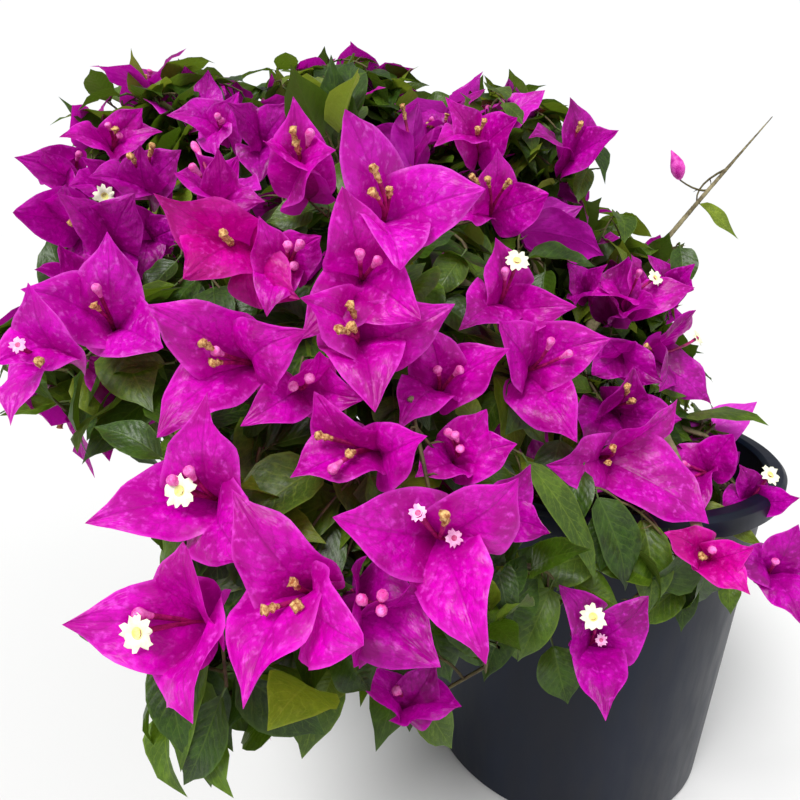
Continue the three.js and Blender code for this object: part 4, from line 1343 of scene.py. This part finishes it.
@dataclass(frozen=True)
class BladeFinish:
    """The finish of a bract or leaf: colours as they look, among them painted sheen and painted shade, and
    how it takes the light.
    """

    name: str
    base: tuple[float, float, float]
    deep: tuple[float, float, float]
    # The pale colour is painted sheen in patches, and partly painted highlight along the margin.
    pale: tuple[float, float, float]
    # The vein colour, which is also laid over a bract's foot as painted shade.
    vein: tuple[float, float, float]
    back: tuple[float, float, float]
    glow: tuple[float, float, float]
    roughness: float
    shine: float
    through: float
    bump: float
    vein_share: float = 0.4
    # How far the vein colour covers the blade's foot: painted shade on a bract, a slightly paler foot on a
    # leaf.
    foot_share: float = 0.6
    # How far pale patches of painted sheen, standing in for reflected light, cover the blade.
    painted_sheen_share: float = 0.78
    mottle_share: float = 0.55
    side_veins: float = 7.0

    # How far the margin takes the pale colour: partly the blade's own paler edge, partly painted highlight.
    pale_edge_and_highlight_share = 0.5
    back_share = 0.6
    glow_share = 0.6

    def make(self, veins: bpy.types.NodeTree) -> bpy.types.Material:
        """The material."""
        material = bpy.data.materials.new(self.name)
        material.use_nodes = True
        material.node_tree.nodes.clear()
        shader = Shader(material.node_tree)
        group = shader.add("ShaderNodeGroup", node_tree=veins)
        group.inputs["Side Veins"].default_value = self.side_veins
        where = shader.add("ShaderNodeTexCoord").outputs["Object"]
        broad = shader.noise(where, 60.0)
        ground = shader.mix(shader.ramp(broad, 0.4, 0.58), linear(*self.deep), linear(*self.base))
        mottle = shader.ramp(shader.noise(where, 430.0, 3.0), 0.36, 0.58, self.mottle_share, 0.0)
        ground = shader.mix(mottle, ground, linear(*self.deep))
        # Painted sheen: pale patches, laid by noise, that stand in for light reflected off the blade.
        painted_sheen = shader.ramp(shader.noise(where, 330.0, 6.0), 0.52, 0.76, 0.0, self.painted_sheen_share)
        ground = shader.mix(painted_sheen, ground, linear(*self.pale))
        # The pale colour along the margin: partly the blade's own paler edge, partly painted highlight where
        # the edge catches the light.
        margin = shader.maths("MULTIPLY", group.outputs["Margin"], self.pale_edge_and_highlight_share)
        ground = shader.mix(margin, ground, linear(*self.pale))
        # Painted shade: the darker vein colour over each bract's foot darkens the middle of a spray; a leaf's
        # paler vein colour only lightens its foot.
        foot = shader.maths("MULTIPLY", group.outputs["Foot"], self.foot_share)
        ground = shader.mix(foot, ground, linear(*self.vein))
        veined = shader.maths("MULTIPLY", group.outputs["Veins"], self.vein_share)
        front = shader.mix(veined, ground, linear(*self.vein))
        behind = shader.add("ShaderNodeNewGeometry").outputs["Backfacing"]
        colour = shader.mix(shader.maths("MULTIPLY", behind, self.back_share), front, linear(*self.back))
        bump = shader.add("ShaderNodeBump", {"Height": group.outputs["Height"], "Strength": self.bump,
                                             "Distance": 0.8 * MM})
        surface = shader.add("ShaderNodeBsdfPrincipled", {
            "Base Color": colour, "Roughness": self.roughness, "Specular IOR Level": self.shine,
            "Normal": bump.outputs[0]})
        glow = shader.mix(self.glow_share, colour, linear(*self.glow))
        light = shader.add("ShaderNodeBsdfTranslucent", {"Color": glow, "Normal": bump.outputs[0]})
        shares = {0: self.through, 1: surface.outputs[0], 2: light.outputs[0]}
        both = shader.add("ShaderNodeMixShader", shares)
        shader.add("ShaderNodeOutputMaterial", {"Surface": both.outputs[0]})
        return material


@dataclass(frozen=True)
class SolidFinish:
    """The finish of a solid piece: two colours as they look, mottled, with a rough or smooth relief."""

    name: str
    light: tuple[float, float, float]
    dark: tuple[float, float, float]
    scale: float
    roughness: float
    bump: float
    streak: tuple[float, float, float] = (1.0, 1.0, 1.0)
    shine: float = 0.4

    def make(self) -> bpy.types.Material:
        """The material."""
        material = bpy.data.materials.new(self.name)
        material.use_nodes = True
        material.node_tree.nodes.clear()
        shader = Shader(material.node_tree)
        where = shader.add("ShaderNodeTexCoord").outputs["Object"]
        drawn = shader.add("ShaderNodeMapping", {"Vector": where, "Scale": self.streak}).outputs[0]
        coarse = shader.noise(drawn, self.scale, 5.0)
        fine = shader.noise(drawn, self.scale * 5, 4.0)
        patch = shader.ramp(shader.maths("MULTIPLY_ADD", fine, 0.4, coarse), 0.5, 0.9)
        colour = shader.mix(patch, linear(*self.dark), linear(*self.light))
        relief = {"Height": shader.maths("ADD", coarse, fine), "Strength": self.bump, "Distance": MM}
        bump = shader.add("ShaderNodeBump", relief)
        rough = shader.ramp(fine, 0.2, 0.8, self.roughness * 0.85, min(1.0, self.roughness * 1.12))
        surface = shader.add("ShaderNodeBsdfPrincipled", {
            "Base Color": colour, "Roughness": rough, "Specular IOR Level": self.shine,
            "Normal": bump.outputs[0]})
        shader.add("ShaderNodeOutputMaterial", {"Surface": surface.outputs[0]})
        return material


# Each row: a name, then the base, deep, pale, vein, back and glow colours; the pale colour is painted sheen.
BRACT_FINISHES = tuple(BladeFinish(*row, roughness=0.38, shine=0.28, through=0.34, bump=0.42) for row in (
    ("bract_bright", (226, 0, 198), (184, 0, 150), (252, 78, 238), (140, 0, 106), (222, 50, 212),
     (255, 0, 216)),
    ("bract_deep", (196, 0, 174), (148, 0, 122), (230, 54, 216), (108, 0, 88), (194, 34, 184),
     (242, 0, 204)),
    ("bract_red", (230, 0, 178), (194, 0, 134), (250, 68, 212), (144, 0, 98), (224, 46, 188),
     (255, 0, 200)),
    ("bract_pale", (236, 18, 216), (202, 0, 174), (252, 108, 244), (154, 0, 122), (234, 80, 226),
     (255, 30, 228)),
))
# Each row: how rough and how see-through, then the name and colours as above.
LEAF_FINISHES = tuple(
    BladeFinish(*row, roughness=roughness, shine=0.38, through=through, bump=0.24, foot_share=0.1,
                side_veins=9.0, painted_sheen_share=0.5)
    for roughness, through, *row in (
        (0.4, 0.22, "leaf_dark", (44, 74, 11), (20, 42, 5), (72, 102, 28), (90, 118, 36), (92, 118, 48),
         (120, 160, 22)),
        (0.42, 0.25, "leaf_mid", (74, 104, 18), (44, 70, 9), (106, 132, 38), (124, 148, 46), (116, 142, 56),
         (146, 184, 32)),
        (0.44, 0.27, "leaf_young", (108, 128, 26), (78, 98, 16), (140, 154, 50), (152, 170, 62),
         (140, 158, 68), (176, 200, 44)),
    ))
TUBE_FINISH = SolidFinish("flower_tube", (186, 30, 116), (124, 8, 66), 220.0, 0.5, 0.2)
BUD_FINISH = SolidFinish("flower_bud", (248, 134, 212), (216, 52, 152), 320.0, 0.55, 0.2)
CLOSED_FINISH = SolidFinish("closed_bracts", (232, 84, 196), (190, 16, 150), 160.0, 0.5, 0.3)
DRY_FINISH = SolidFinish("flower_dry", (246, 204, 132), (150, 76, 36), 620.0, 0.8, 0.6)
STAR_FINISH = SolidFinish("flower_star", (244, 243, 220), (228, 228, 196), 300.0, 0.6, 0.2)
THROAT_FINISH = SolidFinish("flower_throat", (236, 236, 160), (222, 218, 112), 420.0, 0.7, 0.2)
CORE_FINISH = SolidFinish("flower_core", (230, 112, 164), (192, 54, 112), 420.0, 0.7, 0.2)
OPENING_FINISH = SolidFinish("flower_opening", (252, 200, 234), (242, 150, 208), 300.0, 0.6, 0.2)
BARK_FINISH = SolidFinish("bark", (146, 136, 102), (84, 74, 50), 60.0, 0.9, 0.9, (1.0, 1.0, 0.35))
TWIG_FINISH = SolidFinish("twig_bark", (98, 92, 50), (66, 52, 34), 150.0, 0.7, 0.5)
STALK_FINISH = SolidFinish("leaf_stalk", (82, 106, 40), (60, 78, 28), 150.0, 0.6, 0.3)
POT_FINISH = SolidFinish("pot_plastic", (10, 20, 38), (7, 13, 27), 18.0, 0.44, 0.12, (1.0, 1.0, 0.25), 0.2)
MIX_FINISH = SolidFinish("potting_mix", (84, 62, 44), (30, 22, 17), 90.0, 0.97, 1.0)


# The solid pieces.


def deselect_all() -> None:
    """Clears the selection, so that an operator acts on the new piece alone."""
    if bpy.context.mode != "OBJECT":
        bpy.ops.object.mode_set(mode="OBJECT")
    bpy.ops.object.select_all(action="DESELECT")


def apply_modifier(kind: str, **settings: object) -> None:
    """Adds a modifier to the active object, sets it and applies it."""
    bpy.ops.object.modifier_add(type=kind)
    modifier = bpy.context.object.modifiers[-1]
    for key, value in settings.items():
        setattr(modifier, key, value)
    bpy.ops.object.modifier_apply(modifier=modifier.name)


@dataclass
class NurseryPot:
    """The pot: a tapering shell with a wide rolled rim and drain holes."""

    sides: int = 128
    holes: int = 6
    hole_radius: float = 9 * MM
    hole_ring: float = 92 * MM
    bevel: float = 1.1 * MM

    def profile(self) -> list[tuple[float, float]]:
        """The radius and height of each ring, up the outside, over the rim and down the inside."""
        lip = POT.height - POT.rim_drop
        step = POT.rim_bead * 2
        inner = float(POT.wall_radius(POT.height)) - POT.wall - POT.rim_inset
        return [
            (float(POT.wall_radius(POT.foot_bead)), POT.foot_bead),
            (float(POT.wall_radius(lip)) - 0.2 * MM, lip - 2 * MM),
            (float(POT.wall_radius(lip)) + 1.5 * MM, POT.height - step),
            (POT.rim_radius - POT.rim_bead, POT.height - step),
            (POT.rim_radius - POT.rim_bead + 0.6 * MM, lip),
            (POT.rim_radius, lip),
            (POT.rim_radius, POT.height - POT.rim_bead),
            (POT.rim_radius - POT.rim_bead, POT.height),
            (inner + POT.rim_bead, POT.height),
            (inner, POT.height - POT.rim_bead),
            (float(POT.wall_radius(POT.height - step)) - POT.wall, POT.height - step),
            (float(POT.wall_radius(POT.floor)) - POT.wall, POT.floor),
        ]

    def build(self, material: bpy.types.Material) -> bpy.types.Object:
        """Draws the shell up from a disc, ring by ring, and drills its floor."""
        deselect_all()
        radius, height = POT.foot_radius - POT.foot_bead, 0.0
        bpy.ops.mesh.primitive_circle_add(vertices=self.sides, radius=radius, fill_type="NGON")
        pot = bpy.context.object
        pot.name = "pot_shell"
        bpy.ops.object.mode_set(mode="EDIT")
        bpy.ops.mesh.select_all(action="SELECT")
        for next_radius, next_height in self.profile():
            bpy.ops.mesh.extrude_region_move(TRANSFORM_OT_translate={"value": (0, 0, next_height - height)})
            share = next_radius / radius
            bpy.ops.transform.resize(value=(share, share, 1), center_override=(0, 0, next_height))
            radius, height = next_radius, next_height
        bpy.ops.mesh.select_all(action="SELECT")
        bpy.ops.mesh.normals_make_consistent(inside=False)
        bpy.ops.object.mode_set(mode="OBJECT")
        self.drill(pot)
        apply_modifier("BEVEL", width=self.bevel, segments=3, limit_method="ANGLE",
                       angle_limit=math.radians(28))
        bpy.ops.object.shade_smooth_by_angle(angle=math.radians(38))
        pot.data.materials.clear()
        pot.data.materials.append(material)
        return pot

    def drill(self, pot: bpy.types.Object) -> None:
        """Cuts the drain holes through the floor."""
        for index in range(self.holes):
            angle = index * 2 * math.pi / self.holes
            place = (self.hole_ring * math.cos(angle), self.hole_ring * math.sin(angle), POT.floor / 2)
            deselect_all()
            bpy.ops.mesh.primitive_cylinder_add(vertices=32, radius=self.hole_radius, depth=POT.floor * 4,
                                                location=place)
            drill = bpy.context.object
            deselect_all()
            pot.select_set(True)
            bpy.context.view_layer.objects.active = pot
            apply_modifier("BOOLEAN", operation="DIFFERENCE", object=drill, solver="EXACT")
            bpy.data.objects.remove(drill, do_unlink=True)
        deselect_all()
        pot.select_set(True)
        bpy.context.view_layer.objects.active = pot


@dataclass
class PottingMix:
    """The potting mix: a lumpy surface in the pot, strewn with crumbs and bits of bark."""

    rings: int = 5
    lump: float = 3.2 * MM
    crumbs: int = 1500
    edge_room: float = 4 * MM
    sides: int = 96
    wall_gap: float = 0.6 * MM
    floor_gap: float = 0.4 * MM
    lump_width: float = 14 * MM

    def build(self, materials: list[bpy.types.Material]) -> list[bpy.types.Object]:
        """The mix's body and its crumbs."""
        deselect_all()
        edge = POT.height - POT.below_rim
        radius = float(POT.wall_radius(edge)) - POT.wall - self.wall_gap
        foot = float(POT.wall_radius(POT.floor)) - POT.wall - self.wall_gap
        depth = edge - POT.floor - self.floor_gap
        bpy.ops.mesh.primitive_cone_add(vertices=self.sides, radius1=foot, radius2=radius, depth=depth,
                                        location=(0, 0, POT.floor + self.floor_gap + depth / 2))
        bpy.ops.object.transform_apply(location=True, rotation=True, scale=True)
        body = bpy.context.object
        body.name = "mix_body"
        bpy.ops.object.mode_set(mode="EDIT")
        bpy.ops.mesh.select_all(action="DESELECT")
        bpy.ops.object.mode_set(mode="OBJECT")
        for face in body.data.polygons:
            face.select = face.normal.z > 0.9
        bpy.ops.object.mode_set(mode="EDIT")
        for _ in range(self.rings):
            bpy.ops.mesh.inset(thickness=radius / (self.rings + 1.5), depth=0)
        bpy.ops.mesh.poke()
        bpy.ops.object.mode_set(mode="OBJECT")
        apply_modifier("SUBSURF", levels=2, subdivision_type="SIMPLE")
        for vertex in body.data.vertices:
            far = math.hypot(vertex.co.x, vertex.co.y)
            if vertex.co.z > edge - MM:
                vertex.co.z = float(POT.mix_top(np.array(far))) - MM
        grain = bpy.data.textures.new("mix_lumps", "CLOUDS")
        grain.noise_scale = self.lump_width
        apply_modifier("DISPLACE", texture=grain, strength=self.lump, mid_level=0.6, direction="Z",
                       texture_coords="LOCAL")
        bpy.ops.object.shade_smooth()
        body.data.materials.append(materials[0])
        return [body, self.scatter(materials)]

    def scatter(self, materials: list[bpy.types.Material]) -> bpy.types.Object:
        """The crumbs, each a small uneven block."""
        draw = np.random.default_rng(9)
        block = np.array([[x, y, z] for x in (-1, 1) for y in (-1, 1) for z in (-1, 1)], float)
        face = np.array([[0, 1, 3, 2], [4, 6, 7, 5], [0, 4, 5, 1], [2, 3, 7, 6], [0, 2, 6, 4], [1, 5, 7, 3]])
        limit = float(POT.wall_radius(POT.height - POT.below_rim)) - POT.wall - self.edge_room
        corners, faces, tints = [], [], []
        for index in range(self.crumbs):
            radius = limit * math.sqrt(draw.random())
            angle = draw.uniform(0, 2 * math.pi)
            size = draw.uniform(0.8, 3.2) * MM
            sides = np.array([1.0, draw.uniform(0.5, 0.9), draw.uniform(0.3, 0.6)])
            shaped = block * (size * sides) * draw.uniform(0.6, 1.1, block.shape)
            turned, _ = np.linalg.qr(draw.normal(size=(3, 3)))
            turned[:, 0] *= np.sign(np.linalg.det(turned))
            height = float(POT.mix_top(np.array(radius))) - 0.5 * MM
            place = np.array([radius * math.cos(angle), radius * math.sin(angle), height])
            corners.append(shaped @ turned.T + place)
            faces.append(face + 8 * index)
            tints.append(np.full(len(face), int(draw.random() < 0.3)))
        return mesh_object("mix_crumbs", np.concatenate(corners), np.concatenate(faces), materials,
                           np.concatenate(tints))


@dataclass
class BarkMaker:
    """Bark for the stem and boughs: tapering tubes with a rough relief."""

    sides: int = 16
    step: float = 3 * MM
    shoot_share: float = 0.66
    point: float = 3 * MM
    point_share: float = 0.2
    # Each relief: how wide its grain is and how far it stands out, as shares of the limb's radius.
    reliefs: tuple[tuple[float, float], ...] = ((0.9, 0.16), (0.35, 0.1))

    def build(self, limb: Limb, material: bpy.types.Material, on_to: Limb | None = None,
              used: float = 1.0) -> bpy.types.Object:
        """The bark of a limb, and of the mass's stem that carries it on.

        Args:
            limb: The limb.
            material: Its material.
            on_to: The mass's own stem, for a bough.
            used: How far up that stem its last twig starts, as a share of it.

        Returns:
            The limb's object.
        """
        parts = [limb] if on_to is None else [limb, on_to]
        slim = self.shoot_share if limb.name.endswith("long_shoot") else 1.0
        stations = []
        for part in parts:
            count = max(4, int(part.line.length() / self.step))
            end = used if part is on_to else 1.0
            for share in np.linspace(0, end, count)[(1 if stations else 0):]:
                stations.append((part.line.at(share), part.radius(share) * slim))
        if on_to is not None:
            end = on_to.line.at(used) + on_to.line.heading(used) * self.point
            stations.append((end, stations[-1][1] * self.point_share))
        deselect_all()
        curve = bpy.data.curves.new(limb.name, "CURVE")
        curve.dimensions = "3D"
        curve.bevel_depth = 1.0
        curve.bevel_resolution = self.sides // 4 - 1
        curve.use_fill_caps = True
        spline = curve.splines.new("POLY")
        spline.points.add(len(stations) - 1)
        for point, (place, radius) in zip(spline.points, stations):
            point.co = (*place, 1.0)
            point.radius = radius
        piece = bpy.data.objects.new(f"bark_{limb.name}", curve)
        bpy.context.collection.objects.link(piece)
        piece.select_set(True)
        bpy.context.view_layer.objects.active = piece
        bpy.ops.object.convert(target="MESH")
        piece = bpy.context.object
        size = stations[0][1]
        for scale, strength in self.reliefs:
            grain = bpy.data.textures.new(f"grain_{limb.name}", "CLOUDS")
            grain.noise_scale = size * scale
            apply_modifier("DISPLACE", texture=grain, strength=size * strength, mid_level=0.5,
                           texture_coords="LOCAL")
        bpy.ops.object.shade_smooth()
        piece.data.materials.clear()
        piece.data.materials.append(material)
        return piece


# The studio.


class Studio:
    """A pale floor, a soft sun, a soft fill and a pale surround."""

    floor_size = 60.0
    floor_colour = (224, 224, 223)
    # Each light: its name, the way that it shines, its strength and how wide it looks, in degrees.
    suns = (
        ("key_light", (0.3, 0.5, -0.82), 3.5, 26.0),
        ("fill_light", (-0.75, 0.55, -0.5), 0.6, 60.0),
    )
    surround = 0.42
    seen_surround = 1.04
    surround_colour = (0.97, 0.98, 1.0, 1.0)
    floor_roughness = 0.95
    floor_shine = 0.1

    def build(self) -> None:
        """Adds the floor, lights and surround."""
        deselect_all()
        bpy.ops.mesh.primitive_plane_add(size=self.floor_size)
        floor = bpy.context.object
        floor.name = "studio_floor"
        material = bpy.data.materials.new("studio_floor")
        material.use_nodes = True
        surface = material.node_tree.nodes["Principled BSDF"]
        surface.inputs["Base Color"].default_value = linear(*self.floor_colour)
        surface.inputs["Roughness"].default_value = self.floor_roughness
        surface.inputs["Specular IOR Level"].default_value = self.floor_shine
        floor.data.materials.append(material)
        for name, way, strength, width in self.suns:
            aim = Vector(way).to_track_quat("-Z", "Y").to_euler()
            bpy.ops.object.light_add(type="SUN", location=(0, 0, 2), rotation=aim)
            light = bpy.context.object
            light.name = name
            light.data.energy = strength
            light.data.angle = math.radians(width)
        self.add_surround()

    def add_surround(self) -> None:
        """A pale world that is brighter to the camera than it lights."""
        world = bpy.context.scene.world or bpy.data.worlds.new("surround")
        bpy.context.scene.world = world
        world.use_nodes = True
        world.node_tree.nodes.clear()
        shader = Shader(world.node_tree)
        seen = shader.add("ShaderNodeLightPath").outputs["Is Camera Ray"]
        strength = shader.maths("MULTIPLY_ADD", seen, self.seen_surround - self.surround, self.surround)
        pale = {"Color": self.surround_colour, "Strength": strength}
        background = shader.add("ShaderNodeBackground", pale)
        shader.add("ShaderNodeOutputWorld", {"Surface": background.outputs[0]})
        bpy.context.scene.view_settings.view_transform = "Standard"


def place_piece(piece: bpy.types.Object, slot: str, *nodes: str) -> None:
    """Makes a finished piece ride on the body and stand for its nodes."""
    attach(piece, BODY)
    if nodes:
        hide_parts(*nodes)
    LOG.info("%s: %d faces", piece.name, len(piece.data.polygons))


def main() -> None:
    """Builds every piece, dresses it, and sets the camera and the studio."""
    logging.basicConfig(level=logging.INFO, format="%(name)s %(message)s")
    framework = Framework()
    pot = NurseryPot().build(POT_FINISH.make())
    place_piece(pot, "pot", "pot")
    mix_materials = [MIX_FINISH.make(), BARK_FINISH.make()]
    for piece in PottingMix().build(mix_materials):
        place_piece(piece, "mix", "potting_mix")
    bark = mix_materials[1]
    maker = BarkMaker()
    crown = Crown(framework)
    crown.grow()
    for name, limb in framework.limbs.items():
        piece = maker.build(limb, bark, framework.mass_stems.get(name), crown.used_share(name))
        place_piece(piece, "bark", limb.name)
    veins = vein_group()
    bract_materials = [finish.make(veins) for finish in BRACT_FINISHES]
    leaf_materials = [finish.make(veins) for finish in LEAF_FINISHES]
    star = STAR_FINISH.make()
    tubes = [TUBE_FINISH.make(), BUD_FINISH.make(), star, DRY_FINISH.make(), CLOSED_FINISH.make()]
    blossom = [mass.name for mass in MASSES if mass.is_blossom]
    green = [mass.name for mass in MASSES if not mass.is_blossom]
    place_piece(crown.bracts.build(bract_materials), "bracts", *blossom)
    place_piece(crown.near_bracts.build(bract_materials), "bracts")
    place_piece(crown.leaves.build(leaf_materials), "leaves", *green)
    place_piece(crown.near_leaves.build(leaf_materials), "leaves")
    place_piece(crown.twigs.build([TWIG_FINISH.make(), STALK_FINISH.make()]), "bark")
    place_piece(crown.flowers.tubes.build(tubes), "bracts")
    faces = [star, *(one.make() for one in (THROAT_FINISH, CORE_FINISH, OPENING_FINISH))]
    place_piece(crown.flowers.stars.build(faces), "bracts")
    LOG.info("%d sprays, %d leaves", len(crown.spray_centres), len(crown.leaves.roots))

    Studio().build()
    CAMERA.add()


if __name__ == "__main__":
    main()
